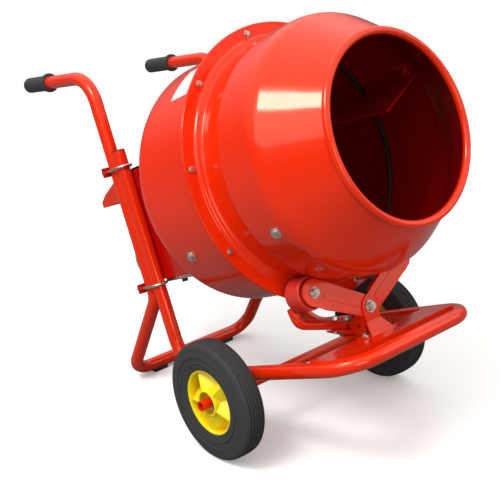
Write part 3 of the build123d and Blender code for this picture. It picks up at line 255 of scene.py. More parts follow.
def skin(name, grids, finishes, body, stands_for=(), rows=None):
    """Make one piece from grids of points, each (rows, columns, 3, wrap rows, wrap columns).

    Quads join each point to its neighbours in both directions; doubled points are merged so that
    seams and poles close, and faces are turned outwards. rows maps a row range to a finish index.
    """
    points, faces, marks, first = [], [], [], 0
    for number, (grid, wrap_rows, wrap_columns) in enumerate(grids):
        grid = np.asarray(grid, float)
        height, width = grid.shape[:2]
        index = np.arange(height * width).reshape(height, width)
        across = np.roll(index, -1, axis=1)
        below, corner = np.roll(index, -1, axis=0), np.roll(across, -1, axis=0)
        quads = np.stack([index, across, corner, below], axis=-1)
        quads = quads[: height if wrap_rows else height - 1, : width if wrap_columns else width - 1]
        mark = np.zeros(quads.shape[:2], int)
        for which, start, stop, value in rows or ():
            if which == number:
                mark[start:stop] = value
        points.append(grid.reshape(-1, 3))
        faces.append(quads.reshape(-1, 4) + first)
        marks.append(mark.reshape(-1))
        first += height * width
    points, faces, marks = np.concatenate(points), np.concatenate(faces), np.concatenate(marks)
    merged, where = np.unique(np.round(points / 2e-7).astype(np.int64), axis=0, return_inverse=True)
    where = where.reshape(-1)
    spots = np.zeros((len(merged), 3))
    spots[where] = points
    faces = where[faces]
    sides = np.sort(faces, axis=1)
    flat = (sides[:, 1:] == sides[:, :-1]).sum(axis=1)
    whole = faces[flat == 0]
    pinched = faces[flat == 1]
    repeat = (pinched == np.roll(pinched, 1, axis=1)).argmax(axis=1)
    order = (np.arange(4)[None, :] + repeat[:, None]) % 4
    thirds = np.take_along_axis(pinched, order, axis=1)[:, 1:]
    mesh = bpy.data.meshes.new(name)
    mesh.from_pydata(spots.tolist(), [], whole.tolist() + thirds.tolist())
    mesh.polygons.foreach_set("material_index", np.concatenate([marks[flat == 0], marks[flat == 1]]))
    mesh.validate()
    mesh.update()
    corners = np.zeros((len(mesh.loop_triangles), 3), np.int32)
    mesh.loop_triangles.foreach_get("vertices", corners.reshape(-1))
    a, b, c = (spots[corners[:, i]] for i in range(3))
    if np.einsum("ij,ij->i", a, np.cross(b, c)).sum() < 0:
        mesh.flip_normals()
    mesh.shade_smooth()
    mesh.set_sharp_from_angle(angle=math.radians(42))
    piece = bpy.data.objects.new(name, mesh)
    bpy.context.scene.collection.objects.link(piece)
    for finish in finishes:
        mesh.materials.append(finish)
    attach(piece, body)
    if stands_for:
        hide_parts(*stands_for)
    return piece


def full_turn(count):
    """Angles of one turn in `count` equal steps, without the last, which repeats the first."""
    return np.arange(count) * 2 * math.pi / count


def lathe(profile, centre, axis, steps, swell=None):
    """Surface of revolution: each profile point (along, radius) is carried round the axis.

    swell, if given, is added to the radius: a (profile, steps) array.
    """
    axis = np.asarray(axis, float) / np.linalg.norm(axis)
    side = np.cross(axis, (0.0, 0.0, 1.0) if abs(axis[2]) < 0.9 else (1.0, 0.0, 0.0))
    side /= np.linalg.norm(side)
    third = np.cross(axis, side)
    turn = full_turn(steps)
    radius = profile[:, 1][:, None] + (0 if swell is None else swell)
    round_it = np.cos(turn)[:, None] * side + np.sin(turn)[:, None] * third
    return np.asarray(centre) + profile[:, 0][:, None, None] * axis + radius[:, :, None] * round_it[None]


def bent_route(corners, bends, step=0.006):
    """Centreline of a bent tube: straight runs joined by true arcs of the given bend radii."""
    corners = np.asarray(corners, float)
    runs = [corners[:1]]
    for previous, corner, following, radius in zip(corners, corners[1:], corners[2:], bends):
        back = (previous - corner) / np.linalg.norm(previous - corner)
        ahead = (following - corner) / np.linalg.norm(following - corner)
        half = math.acos(np.clip(back @ ahead, -1, 1)) / 2
        cut = radius / math.tan(half)
        middle = (back + ahead) / np.linalg.norm(back + ahead)
        centre = corner + middle * radius / math.sin(half)
        first, last = corner + back * cut - centre, corner + ahead * cut - centre
        sweep = math.pi - 2 * half
        t = np.linspace(0, 1, max(6, int(radius * sweep / step)))[:, None]
        runs.append(centre + (np.sin((1 - t) * sweep) * first + np.sin(t * sweep) * last) / math.sin(sweep))
    runs.append(corners[-1:])
    points = np.concatenate(runs)
    gaps = np.linalg.norm(np.diff(points, axis=0), axis=1)
    spare = [np.linspace(a, b, max(2, int(gap / 0.05) + 1))[:-1]
             for a, b, gap in zip(points, points[1:], gaps)]
    return np.concatenate(spare + [points[-1:]])


def along(route, section, guide=(1.0, 1.0, 1.0)):
    """Carry a section round a route: at each point the section lies across the route's direction.

    section is (rows or 1, points, 2): offsets along the two directions across the route, the first
    of which is square to the route and to the guide vector.
    """
    direction = np.gradient(route, axis=0)
    direction /= np.linalg.norm(direction, axis=1)[:, None]
    first = np.cross(direction, guide)
    first /= np.linalg.norm(first, axis=1)[:, None]
    second = np.cross(direction, first)
    return (route[:, None] + section[..., 0:1] * first[:, None] + section[..., 1:2] * second[:, None])


def circle(radius, count):
    """One round section of `count` points, shaped for along()."""
    turn = full_turn(count)
    return radius * np.stack([np.cos(turn), np.sin(turn)], axis=-1)[None]


def tube_grid(route, radius, wall, count=56):
    """Closed skin of an open-ended tube: out along the outside, round the edge, back down the bore."""
    outside = along(route, circle(radius, count))
    inside = along(route, circle(radius - wall, count))[::-1]
    return np.concatenate([outside, inside])


# ======================================= finishes =======================================
class Wire:
    """A socket of a material's nodes; arithmetic on it adds Math nodes."""

    def __init__(self, paint, socket):
        self.paint = paint
        self.socket = socket

    def maths(self, operation, left, right):
        return self.paint.node("ShaderNodeMath", {"operation": operation}, [left, right])

    def __add__(self, other):
        return self.maths("ADD", self, other)

    def __sub__(self, other):
        return self.maths("SUBTRACT", self, other)

    def __rsub__(self, other):
        return self.maths("SUBTRACT", other, self)

    def __mul__(self, other):
        return self.maths("MULTIPLY", self, other)

    def __pow__(self, other):
        return self.maths("POWER", self, other)

    def __abs__(self):
        return self.maths("ABSOLUTE", self, 0.0)

    __radd__ = __add__
    __rmul__ = __mul__


class Paint:
    """One material and the few ways its nodes are made."""

    def __init__(self, name):
        self.material = bpy.data.materials.new(name)
        self.material.use_nodes = True
        self.tree = self.material.node_tree
        self.tree.nodes.clear()
        self.coords = self.node("ShaderNodeTexCoord", out="Object")

    def node(self, kind, settings=None, inputs=(), out=0):
        """Add a node: its settings first, then the values or links of its sockets."""
        made = self.tree.nodes.new(kind)
        for key, value in (settings or {}).items():
            if key == "stops":
                ramp = made.color_ramp
                while len(ramp.elements) < len(value):
                    ramp.elements.new(1.0)
                for element, (spot, shade) in zip(ramp.elements, value):
                    element.position = spot
                    element.color = shade
            else:
                setattr(made, key, value)
        pairs = inputs.items() if isinstance(inputs, dict) else enumerate(inputs)
        for key, value in pairs:
            if isinstance(value, Wire):
                self.tree.links.new(value.socket, made.inputs[key])
            else:
                made.inputs[key].default_value = value
        return Wire(self, made.outputs[out])

    def noise(self, scale, detail=3.0, rough=0.55, stretch=(1, 1, 1)):
        """Soft noise between 0 and 1, on object coordinates, `scale` blotches per metre."""
        spot = self.coords
        if stretch != (1, 1, 1):
            spot = self.node("ShaderNodeMapping", None, {"Vector": self.coords, "Scale": stretch})
        return self.node("ShaderNodeTexNoise", None,
                         {"Vector": spot, "Scale": scale, "Detail": detail, "Roughness": rough})

    def ramp(self, value, low, high, start=0.0, end=1.0):
        """Clamped straight line: start at low, end at high."""
        return self.node("ShaderNodeMapRange", {"clamp": True}, [value, low, high, start, end])

    def mix(self, share, first, second, blend="MIX"):
        """Colour mix: first where share is 0, second where it is 1."""
        return self.node("ShaderNodeMix", {"data_type": "RGBA", "blend_type": blend},
                         {0: share, 6: first, 7: second}, out=2)

    def bump(self, height, distance, strength=1.0, under=None):
        """Bump of a height from 0 to 1 that stands `distance` metres tall."""
        inputs = {"Height": height, "Distance": distance, "Strength": strength}
        if under is not None:
            inputs["Normal"] = under
        return self.node("ShaderNodeBump", None, inputs)

    def finish(self, **inputs):
        """Principled surface, wired to the output."""
        names = {key.replace("_", " ").title().replace("Ior", "IOR"): value
                 for key, value in inputs.items()}
        surface = self.node("ShaderNodeBsdfPrincipled", None, names)
        self.node_output(surface)
        return self.material

    def node_output(self, surface):
        """Wire a surface to the material's output."""
        made = self.tree.nodes.new("ShaderNodeOutputMaterial")
        self.tree.links.new(surface.socket, made.inputs["Surface"])


def rgba(value, gain=1.0):
    """Four numbers from a colour setting, brightened or darkened by gain."""
    return tuple(min(1.0, channel * gain) for channel in value) + (1.0,)


def enamel(name, base, gloss=0.12, coat=0.85, dust=0.20):
    """Stoved enamel: a faint orange-peel bump, cloudy tone, soft smears in the gloss and fine dust."""
    paint = Paint(name)
    cloud = paint.ramp(paint.noise(3.1, 2.0), 0.3, 0.7)
    tone = paint.mix(cloud, rgba(base, 0.94), rgba(base, 1.05))
    fine = paint.ramp(paint.noise(46.0, 4.0, 0.6), 0.46, 0.74)
    tone = paint.mix(fine * 0.16, tone, rgba(base, 0.80))
    speck = paint.ramp(paint.noise(620.0, 1.0, 0.5), 0.70, 0.80)
    tone = paint.mix(speck * dust, tone, rgba((0.72, 0.30, 0.22)))
    smear = paint.ramp(paint.noise(9.0, 5.0, 0.62, (1.0, 1.0, 2.4)), 0.42, 0.75)
    rough = smear * 0.10 + fine * 0.05 + gloss
    peel = paint.bump(paint.noise(330.0, 2.0, 0.5), 0.00010)
    wave = paint.bump(paint.noise(17.0, 1.0, 0.4), 0.0009, 0.7, peel)
    return paint.finish(base_color=tone, roughness=rough - 0.04, specular_ior_level=coat * 0.58,
                        specular_tint=(1.0, 0.74, 0.50, 1.0), coat_weight=0.30 - smear * 0.10,
                        coat_roughness=gloss * 0.4, coat_ior=1.5, normal=wave)


def rubber(name, base, grain=900.0, relief=0.00012, dust=0.25, rings=()):
    """Moulded rubber: matt black with a fine grain, scuffs, dust and a painted highlight: lighter lines on the
    rings round the wheel's axle.
    """
    paint = Paint(name)
    cloud = paint.ramp(paint.noise(14.0, 5.0, 0.65), 0.35, 0.72)
    tone = paint.mix(cloud * dust, rgba(base), rgba((0.095, 0.092, 0.086)))
    scuff = paint.ramp(paint.noise(70.0, 6.0, 0.7, (1.0, 1.0, 3.0)), 0.60, 0.72)
    tone = paint.mix(scuff * 0.30, tone, rgba((0.15, 0.145, 0.135)))
    # Painted highlight: a lighter grey line at each ring's radius, where the raised sidewall ring catches light,
    # broken up by the scuff and cloud noise.
    for radius in rings:
        flat = paint.node("ShaderNodeVectorMath", {"operation": "MULTIPLY_ADD"},
                          [paint.coords, (0.0, 1.0, 1.0), (0.0, -AXLE_Y, -AXLE_Z)])
        away = paint.node("ShaderNodeVectorMath", {"operation": "LENGTH"}, [flat], out="Value")
        ring_highlight_line = 1.0 - paint.ramp(abs(away - radius), 0.0005, 0.0015)
        ring_highlight_mottle = paint.ramp(scuff + cloud, 0.0, 1.2, 0.35, 0.8)
        tone = paint.mix(ring_highlight_line * ring_highlight_mottle, tone, rgba((0.17, 0.17, 0.165)))
    pores = paint.noise(grain, 3.0, 0.6)
    rough = cloud * 0.12 + scuff * 0.10 + 0.50
    return paint.finish(base_color=tone, roughness=rough, specular_ior_level=0.35,
                        normal=paint.bump(pores, relief))


def moulded(name, base, gloss=0.32, grain=420.0, shade=0.82, recess=None):
    """Moulded plastic: slight flow marks in the tone, a fine matt grain, soft gloss and painted shade in the
    hollows found by ambient occlusion.
    """
    paint = Paint(name)
    flow = paint.ramp(paint.noise(24.0, 3.0, 0.5), 0.35, 0.7)
    tone = paint.mix(flow * 0.5, rgba(base), rgba(base, shade))
    smut = paint.ramp(paint.noise(90.0, 5.0, 0.7), 0.58, 0.74)
    tone = paint.mix(smut * 0.18, tone, rgba(base, 0.45))
    # Painted shade: where ambient occlusion finds a hollow, the tone is mixed towards a darker copy of the recess
    # colour, or of the base.
    hollow_shade = paint.node("ShaderNodeAmbientOcclusion", {"samples": 8}, {"Distance": 0.035}, out="AO")
    tone = paint.mix(paint.ramp(hollow_shade, 0.25, 0.85, 0.75, 0.0), tone, rgba(recess or base, 0.7))
    return paint.finish(base_color=tone, roughness=flow * 0.10 + smut * 0.15 + gloss,
                        normal=paint.bump(paint.noise(grain, 2.0, 0.5), 0.00010))


def plated(name, base, gloss=0.22, tint=(0.60, 0.56, 0.40), grain=260.0):
    """Zinc plate: bright metal, faint straw and blue clouds, fine scratches and dull patches."""
    paint = Paint(name)
    cloud = paint.ramp(paint.noise(120.0, 3.0, 0.6), 0.35, 0.68)
    tone = paint.mix(cloud * 0.55, rgba(base), rgba(tint))
    cool = paint.ramp(paint.noise(75.0, 2.0, 0.5), 0.52, 0.70)
    tone = paint.mix(cool * 0.35, tone, rgba((0.50, 0.56, 0.64)))
    scratch = paint.ramp(paint.noise(grain, 6.0, 0.75, (1.0, 6.0, 1.0)), 0.45, 0.70)
    return paint.finish(base_color=tone, metallic=1.0, roughness=scratch * 0.20 + cloud * 0.08 + gloss,
                        normal=paint.bump(scratch, 0.00005))


def galvanised(name, base=(0.55, 0.56, 0.56)):
    """Hot-dip zinc sheet: crystals of slightly different grey with soft edges."""
    paint = Paint(name)
    cells = paint.node("ShaderNodeTexVoronoi", None, {"Vector": paint.coords, "Scale": 140.0}, out="Color")
    grey = paint.node("ShaderNodeRGBToBW", None, [cells])
    tone = paint.mix(paint.ramp(grey, 0.2, 0.8), rgba(base, 0.75), rgba(base, 1.1))
    dull = paint.ramp(paint.noise(30.0, 4.0), 0.4, 0.7)
    return paint.finish(base_color=tone, metallic=0.85, roughness=grey * 0.18 + dull * 0.15 + 0.28,
                        normal=paint.bump(grey, 0.00004))


def cast_iron(name, base=(0.16, 0.15, 0.145)):
    """Machined cast iron with a thin film of oil and dust in the pores."""
    paint = Paint(name)
    pore = paint.ramp(paint.noise(400.0, 5.0, 0.7), 0.40, 0.65)
    oil = paint.ramp(paint.noise(20.0, 4.0, 0.6), 0.42, 0.66)
    tone = paint.mix(oil * 0.7, rgba(base), rgba((0.05, 0.038, 0.025)))
    return paint.finish(base_color=tone, metallic=0.8, roughness=pore * 0.20 + 0.30 - oil * 0.12,
                        normal=paint.bump(pore, 0.00015))


def hammered(name, base):
    """Hammer-finish motor enamel: small shallow dimples with a dusty top coat."""
    paint = Paint(name)
    dimple = paint.node("ShaderNodeTexVoronoi", {"feature": "SMOOTH_F1"},
                        {"Vector": paint.coords, "Scale": 240.0}, out="Distance")
    dust = paint.ramp(paint.noise(16.0, 4.0, 0.6), 0.40, 0.70)
    tone = paint.mix(dust * 0.45, rgba(base), rgba((0.42, 0.40, 0.35)))
    return paint.finish(base_color=tone, roughness=dust * 0.25 + 0.34, coat_weight=0.4,
                        coat_roughness=0.2, normal=paint.bump(dimple, 0.0003))


def vinyl(name, base):
    """Blank sticker: white vinyl, faintly cloudy, with slight wrinkles."""
    paint = Paint(name)
    cloud = paint.ramp(paint.noise(40.0, 3.0), 0.4, 0.7)
    tone = paint.mix(cloud * 0.5, rgba(base), rgba(base, 0.90))
    return paint.finish(base_color=tone, roughness=cloud * 0.1 + 0.30, coat_weight=0.5,
                        coat_roughness=0.15, normal=paint.bump(paint.noise(60.0, 2.0), 0.0002))


def paints(scene):
    """Every finish of the mixer by name, made once."""
    look = scene.mixer_finish
    wanted = {
        "red_enamel": lambda name: enamel(name, look.enamel),
        "deep_red_enamel": lambda name: enamel(name, look.enamel_deep, 0.14),
        # Drum interior: the enamel in a darker red, as painted shade inside the drum.
        "drum_interior": lambda name: enamel(name, look.interior, 0.16, 0.5, 0.05),
        "tyre_rubber": lambda name: rubber(name, look.rubber, rings=SIDEWALL_RINGS),
        "grip_rubber": lambda name: rubber(name, look.grip, 700.0, 0.00016, 0.25),
        # The rims' painted shade in their hollows is orange.
        "rim_yellow": lambda name: moulded(name, look.yellow, shade=0.93, recess=(1.0, 0.56, 0.0)),
        "roller_red": lambda name: moulded(name, (0.66, 0.035, 0.022), 0.30, 500.0, 0.86),
        "zinc_plate": lambda name: plated(name, look.zinc),
        "bright_steel": lambda name: plated(name, (0.56, 0.56, 0.55), 0.18, (0.50, 0.48, 0.44), 500.0),
        "galvanised_sheet": galvanised,
        "cast_iron": cast_iron,
        "motor_enamel": lambda name: hammered(name, look.motor),
        "switch_black": lambda name: moulded(name, (0.020, 0.020, 0.022), 0.38, 600.0, 0.7),
        "button_green": lambda name: moulded(name, (0.015, 0.24, 0.045), 0.28),
        "button_red": lambda name: moulded(name, (0.55, 0.012, 0.010), 0.28),
        "label_vinyl": lambda name: vinyl(name, look.label),
    }
    return {name: bpy.data.materials.get(name) or make(name) for name, make in wanted.items()}


FINISH_OF_SLOT = {
    "red_paint": "red_enamel", "dark_red_paint": "deep_red_enamel", "black_rubber": "grip_rubber",
    "tyre_rubber": "tyre_rubber", "yellow_plastic": "rim_yellow", "zinc_steel": "zinc_plate",
    "bare_steel": "bright_steel", "grey_motor": "motor_enamel", "grey_sheet": "galvanised_sheet",
    "cast_gear": "cast_iron", "black_plastic": "switch_black", "green_plastic": "button_green",
    "red_plastic": "button_red",
}


# Width in metres of the soft edge that a CAD node gets.
FOLDED = {
    "drive_housing": 0.0008, "motor_hood": 0.0008, "roller_arm_left": 0.0010,
    "roller_arm_right": 0.0010, "cradle_bracket": 0.0008, "cross_channel": 0.0010,
    "yoke_seat": 0.0008, "clamp_saddles": 0.0008, "flange_bolts": 0.0004,
    "paddle_bolts": 0.0006, "roller_bolts": 0.0006, "cradle_bolts": 0.0006,
    "clamp_nuts": 0.0005, "mixing_paddles": 0.0006, "axle_brackets": 0.0008,
    "switch_box": 0.0008,
}


# ======================================= operators ======================================
class MIXER_OT_finishes(bpy.types.Operator):
    """Give every carried-over CAD node the finish of its material slot"""
    bl_idname = "mixer.finishes"
    bl_label = "CAD finishes"

    def execute(self, context):
        made = paints(context.scene)
        slots = {part["node"]: part["material_slot"] for part in frame["record"]["subparts"]}
        for name, node in frame["nodes"].items():
            node.data.materials.clear()
            node.data.materials.append(made[FINISH_OF_SLOT[slots[name]]])
            if name in FOLDED:
                edge = node.modifiers.new("soft_edge", "BEVEL")
                edge.limit_method = "ANGLE"
                edge.angle_limit = math.radians(35.0)
                edge.width = FOLDED[name]
                edge.segments = 2
        return {"FINISHED"}


class MIXER_OT_drum(bpy.types.Operator):
    """Front shell with track, shoulder and rolled mouth, and the flanged rear bowl"""
    bl_idname = "mixer.drum"
    bl_label = "Drum shells"

    def execute(self, context):
        d = context.scene.mixer_drum
        made = paints(context.scene)
        for name, (outer, inner), node in (("drum_front_skin", self.front(d), "drum_front_shell"),
                                           ("drum_rear_skin", self.rear(d), "drum_rear_bowl")):
            self.revolve(name, joined(outer, inner), len(outer), d, made, node)
        self.seal(d, made)
        self.label(d, made)
        return {"FINISHED"}

    def seal(self, d, made):
        """Rubber seal: a flat ring between the flanges that ends inside the drum in a round bulb."""
        bulb = arc((0.0, d.track_radius + 0.0075), 0.0045, 77, -257, 30)
        edge = d.flange_radius - 0.003
        profile = joined((-d.flange_gap, edge), (d.flange_gap, edge), bulb)
        grid = place(lathe(profile, (0.0, d.flange_y, d.axis_height), (0, -1, 0), DRUM_STEPS))
        skin("seal_ring", [(grid, True, True)], [made["grip_rubber"]], "drum",
             ("drum_seal",))

    def label(self, d, made):
        """Blank sticker on the bowl: a thin slab bent round the wall, closed at both ends."""
        columns, outside, underside, edge = 28, 0.00035, 0.00005, 0.0002
        start, end = -d.label_start, -d.label_start + d.label_length
        rows = np.concatenate([[start - edge], np.linspace(start, end, 24), [end + edge]])
        turn = np.linspace(d.label_from, d.label_to, columns)
        levels = []
        for level in (outside, underside):
            lift = np.full(len(rows), level)
            lift[[0, -1]] = edge
            levels.append(d.bowl_radius + np.repeat(lift[:, None], columns, 1))
        radius = np.concatenate(levels, axis=1)
        angle = np.concatenate([turn, turn[::-1]])
        x = radius * np.sin(angle)[None]
        z = d.axis_height + radius * np.cos(angle)[None]
        y = d.flange_y - rows[:, None] + 0 * x
        skin("blank_label", [(place(np.stack([x, y, z], axis=-1)), False, True)], [made["label_vinyl"]],
             "drum")

    def revolve(self, name, profile, split, d, made, node):
        """Turn a profile of (in front of the flange plane, radius) about the drum axis."""
        centre = (0.0, d.flange_y, d.axis_height)
        grid = place(lathe(profile, centre, (0, -1, 0), DRUM_STEPS))
        # Faces inside the drum take the second finish, the darker enamel that paints the shade there.
        skin(name, [(grid, True, True)], [made["red_enamel"], made["drum_interior"]], "drum",
             (node,), [(0, split, len(profile), 1)])

    def line_of(self, d, inset):
        """Front shell's line at `inset` under its outside, from the flange step to the cone's end."""
        centre_r = d.body_radius - d.shoulder_radius
        rise, drop = d.mouth - d.shoulder, d.mouth_radius - centre_r
        turn = math.atan2(rise, drop) - math.acos(d.shoulder_radius / math.hypot(rise, drop))
        neck, track, wide = (r - inset for r in (d.neck_radius, d.track_radius, d.body_radius))
        face, end = d.flange_face, d.track_end
        bend = d.shoulder_radius - inset
        corner = arc((d.shoulder, centre_r), bend, 90, 90 - math.degrees(turn), 40)
        return joined(
            curve((face, neck), (face + 0.008, neck), (face + 0.004, track), (face + 0.013, track), 14),
            line((face + 0.013, track), (end, track), 8),
            curve((end, track), (end + 0.005, track), (end + d.track_step - 0.005, wide),
                  (end + d.track_step, wide), 12),
            line((end + d.track_step, wide), (d.shoulder, wide), 8), corner,
            line(corner[-1], (d.mouth, d.mouth_radius - inset), 14))

    def front(self, d):
        """Outer run from the seal side of the flange to the mouth's bead, and the inner run back."""
        outside = self.line_of(d, 0.0)
        inside = self.line_of(d, d.sheet)
        step = (inside[:, 0] > d.track_end) & (inside[:, 0] < d.shoulder - 0.001)
        inside = inside[~step][::-1]
        edge = (d.flange_face + d.flange_gap) / 2
        lip = arc((edge, d.flange_radius - 0.0015), 0.0015, 180, 0, 9)
        fillet = curve((d.flange_face, d.neck_radius + 0.005), (d.flange_face, d.neck_radius + 0.001),
                       (d.flange_face + 0.0005, d.neck_radius), outside[3], 7)
        bead = (d.mouth, d.mouth_radius + 0.002)
        fall = outside[-1] - outside[-14]
        fall /= np.linalg.norm(fall)
        to_centre = np.asarray(bead) - outside[-14]
        nearest = to_centre @ fall
        off = np.linalg.norm(to_centre - nearest * fall)
        meet = outside[-14] + fall * (nearest - math.sqrt(max(d.bead_radius ** 2 - off ** 2, 0)))
        start = math.degrees(math.atan2(meet[1] - bead[1], meet[0] - bead[0]))
        low = d.mouth_radius - d.sheet - bead[1]
        end = math.degrees(math.atan2(low, -math.sqrt(max(d.bead_radius ** 2 - low ** 2, 0))))
        turned = arc(bead, d.bead_radius, start % 360, end % 360 - 360, 34)
        outer = joined(lip, line((d.flange_face, d.flange_radius - 0.002), fillet[0], 5), fillet,
                       outside[4:-14], line(outside[-14], meet, 12), turned)
        keep = inside[:, 0] < turned[-1][0]
        inner = joined(turned[-1:], inside[keep], (d.flange_gap, d.neck_radius - d.sheet))
        return outer, inner

    def rear(self, d):
        """Bowl: flange lip, wall, rounded corner and flat back to the shaft hole, then the inside back."""
        def wall(inset):
            """The bowl's line at `inset` under its outside: wall, corner and back."""
            corner = (d.bowl_corner - d.bowl_depth, d.bowl_radius - d.bowl_corner)
            bend = arc(corner, d.bowl_corner - inset, 90, 180, 30)
            return joined(line((-d.flange_face - 0.004, d.bowl_radius - inset), bend[0], 12), bend,
                          line(bend[-1], (inset - d.bowl_depth, d.shaft_radius), 24))
        edge = -(d.flange_face + d.flange_gap) / 2
        lip = arc((edge, d.flange_radius - 0.0015), 0.0015, 0, 180, 9)
        fillet = curve((-d.flange_face, d.bowl_radius + 0.004), (-d.flange_face, d.bowl_radius + 0.001),
                       (-d.flange_face - 0.001, d.bowl_radius), (-d.flange_face - 0.004, d.bowl_radius), 7)
        outer = joined(lip, line((-d.flange_face, d.flange_radius - 0.002), fillet[0], 5), fillet,
                       wall(0.0))
        inner = joined(wall(d.sheet)[::-1], (-d.flange_gap, d.bowl_radius - d.sheet))
        return outer, inner


class MIXER_OT_tubes(bpy.types.Operator):
    """Main tube with its front loop, and the tube that makes the handles and the rear leg"""
    bl_idname = "mixer.tubes"
    bl_label = "Frame tubes"

    def execute(self, context):
        t = context.scene.mixer_tubes
        made = paints(context.scene)
        half = [(t.main_y, t.main_top), (t.main_y, t.loop_z), (-t.loop_front, t.loop_z)]
        self.tube("main_tube", half, [t.rear_bend, t.front_bend], t, made, "main_frame_tube")
        foot = (t.pad + t.radius - AXLE_Z + t.leg_back * math.sin(LEAN)) / math.cos(LEAN)
        half = [(t.grip_y, t.handle_top + t.handle_rise), (t.handle_y, t.handle_top),
                (t.handle_y, t.leg_top), (t.leg_back, foot)]
        self.tube("handle_tube", half, [t.handle_bend, t.leg_knee, t.leg_bend], t, made, "handle_leg_tube")
        return {"FINISHED"}

    def tube(self, name, half, bends, t, made, node):
        """Mirror the left half of a route onto the right and skin it."""
        left = [(-t.half_width, y, z) for y, z in half]
        right = [(t.half_width, y, z) for y, z in reversed(half)]
        route = bent_route(left + right, bends + bends[::-1])
        grid = place(tube_grid(route, t.radius, t.wall))
        skin(name, [(grid, True, True)], [made["red_enamel"]], "frame", (node,))


class MIXER_OT_grips(bpy.types.Operator):
    """Rubber grips with finger ribs, a hand-guard ring and a domed end"""
    bl_idname = "mixer.grips"
    bl_label = "Grips"

    def execute(self, context):
        t = context.scene.mixer_tubes
        made = paints(context.scene)
        run = np.array([0.0, t.grip_y - t.handle_y, t.handle_rise])
        run /= np.linalg.norm(run)
        long, big, ring = t.grip_length, t.grip_radius, t.grip_flange
        width = t.grip_flange_t
        profile = joined(
            (0.0, t.radius + 0.0002), line((0.0, t.radius + 0.001), (0.0, ring - 0.003), 3),
            arc((0.003, ring - 0.003), 0.003, 180, 90, 6),
            arc((width - 0.004, ring - 0.004), 0.004, 90, 0, 6),
            arc((width + 0.003, big + 0.003), 0.003, 180, 270, 6),
            line((width + 0.003, big), (long - 0.003, big), 60),
            arc((long - 0.003, big - 0.007), 0.007, 90, 0, 9),
            line((long + 0.004, big - 0.007), (long + 0.004, 0.0), 8))
        turn = full_turn(96)
        mask = smooth(width + 0.006, width + 0.012, profile[:, 0])
        mask = mask * (1 - smooth(long - 0.012, long - 0.006, profile[:, 0]))
        swell = mask[:, None] * (np.cos(24 * turn)[None] * 0.00045 - 0.00045)
        end = np.array([0.0, t.grip_y, t.handle_top + t.handle_rise])
        for word, way in SIDES:
            start = end - run * long + (way * t.half_width, 0, 0)
            grid = place(lathe(profile, start, run, 96, swell))
            skin(f"rubber_grip_{word}", [(grid, False, True)], [made["grip_rubber"]], "frame",
                 (f"grip_{word}",))
        return {"FINISHED"}


class MIXER_OT_tyres(bpy.types.Operator):
    """Solid rubber tyres with a grooved tread and moulded sidewall rings"""
    bl_idname = "mixer.tyres"
    bl_label = "Tyres"

    def execute(self, context):
        w = context.scene.mixer_wheels
        made = paints(context.scene)
        profile = self.section(w)
        for word, way in SIDES:
            flipped = profile * (way, 1)
            grid = lathe(flipped, (way * WHEEL_X, AXLE_Y, AXLE_Z), (1, 0, 0), 256)
            skin(f"ribbed_tyre_{word}", [(grid, True, True)], [made["tyre_rubber"]], f"wheel_{word}",
                 (f"tyre_{word}",))
        return {"FINISHED"}

    def section(self, w):
        """Closed section (outwards, radius): seat, sidewall with raised rings, shoulder, grooved tread."""
        half, top = TYRE_W / 2, TYRE_R
        foot, brow, edge = 0.093, top - 0.018, half - 0.012
        side_r = np.linspace(foot, brow, 90)
        ring = 0.0010 * sum(np.exp(-((side_r - at) / 0.0008) ** 2) for at in SIDEWALL_RINGS)
        step = -0.0014 * smooth(0.1015, 0.1035, side_r) * (1 - smooth(0.1160, 0.1175, side_r))
        bulge = 0.0016 * np.sin(math.pi * (side_r - foot) / (brow - foot)) - 0.0016
        side = np.stack([half + bulge + ring + step, side_r], axis=-1)
        shoulder = curve(side[-1], (half + 0.0002 - 0.0016, top - 0.007), (half - 0.005, top - 0.0016),
                         (edge, top - 0.0012), 16)
        x = np.linspace(edge, -edge, 420)
        crown = top - 0.0012 * (x / edge) ** 2
        pitch = 2 * (half - 0.009) / w.grooves
        phase = np.abs((x / pitch + w.grooves / 2) % 1 - 0.5) * pitch
        cut = 1 - smooth(w.groove_width * 0.22, w.groove_width * 0.62, phase)
        tread = np.stack([x, crown - w.groove_depth * cut], axis=-1)
        keep = np.ones(len(tread), bool)
        keep[1:-1] = (np.abs(np.diff(tread[:, 1], 2)) > 2e-7) | (np.arange(1, len(tread) - 1) % 8 == 0)
        inner = joined(curve((half - 0.005, w.seat_radius), (half - 0.0035, w.seat_radius),
                             (half - 0.0020, 0.086), side[0], 10))
        outer = joined(inner, side, shoulder)
        mirror = outer[::-1] * (-1, 1)
        return joined(outer, tread[keep], mirror)[::-1]


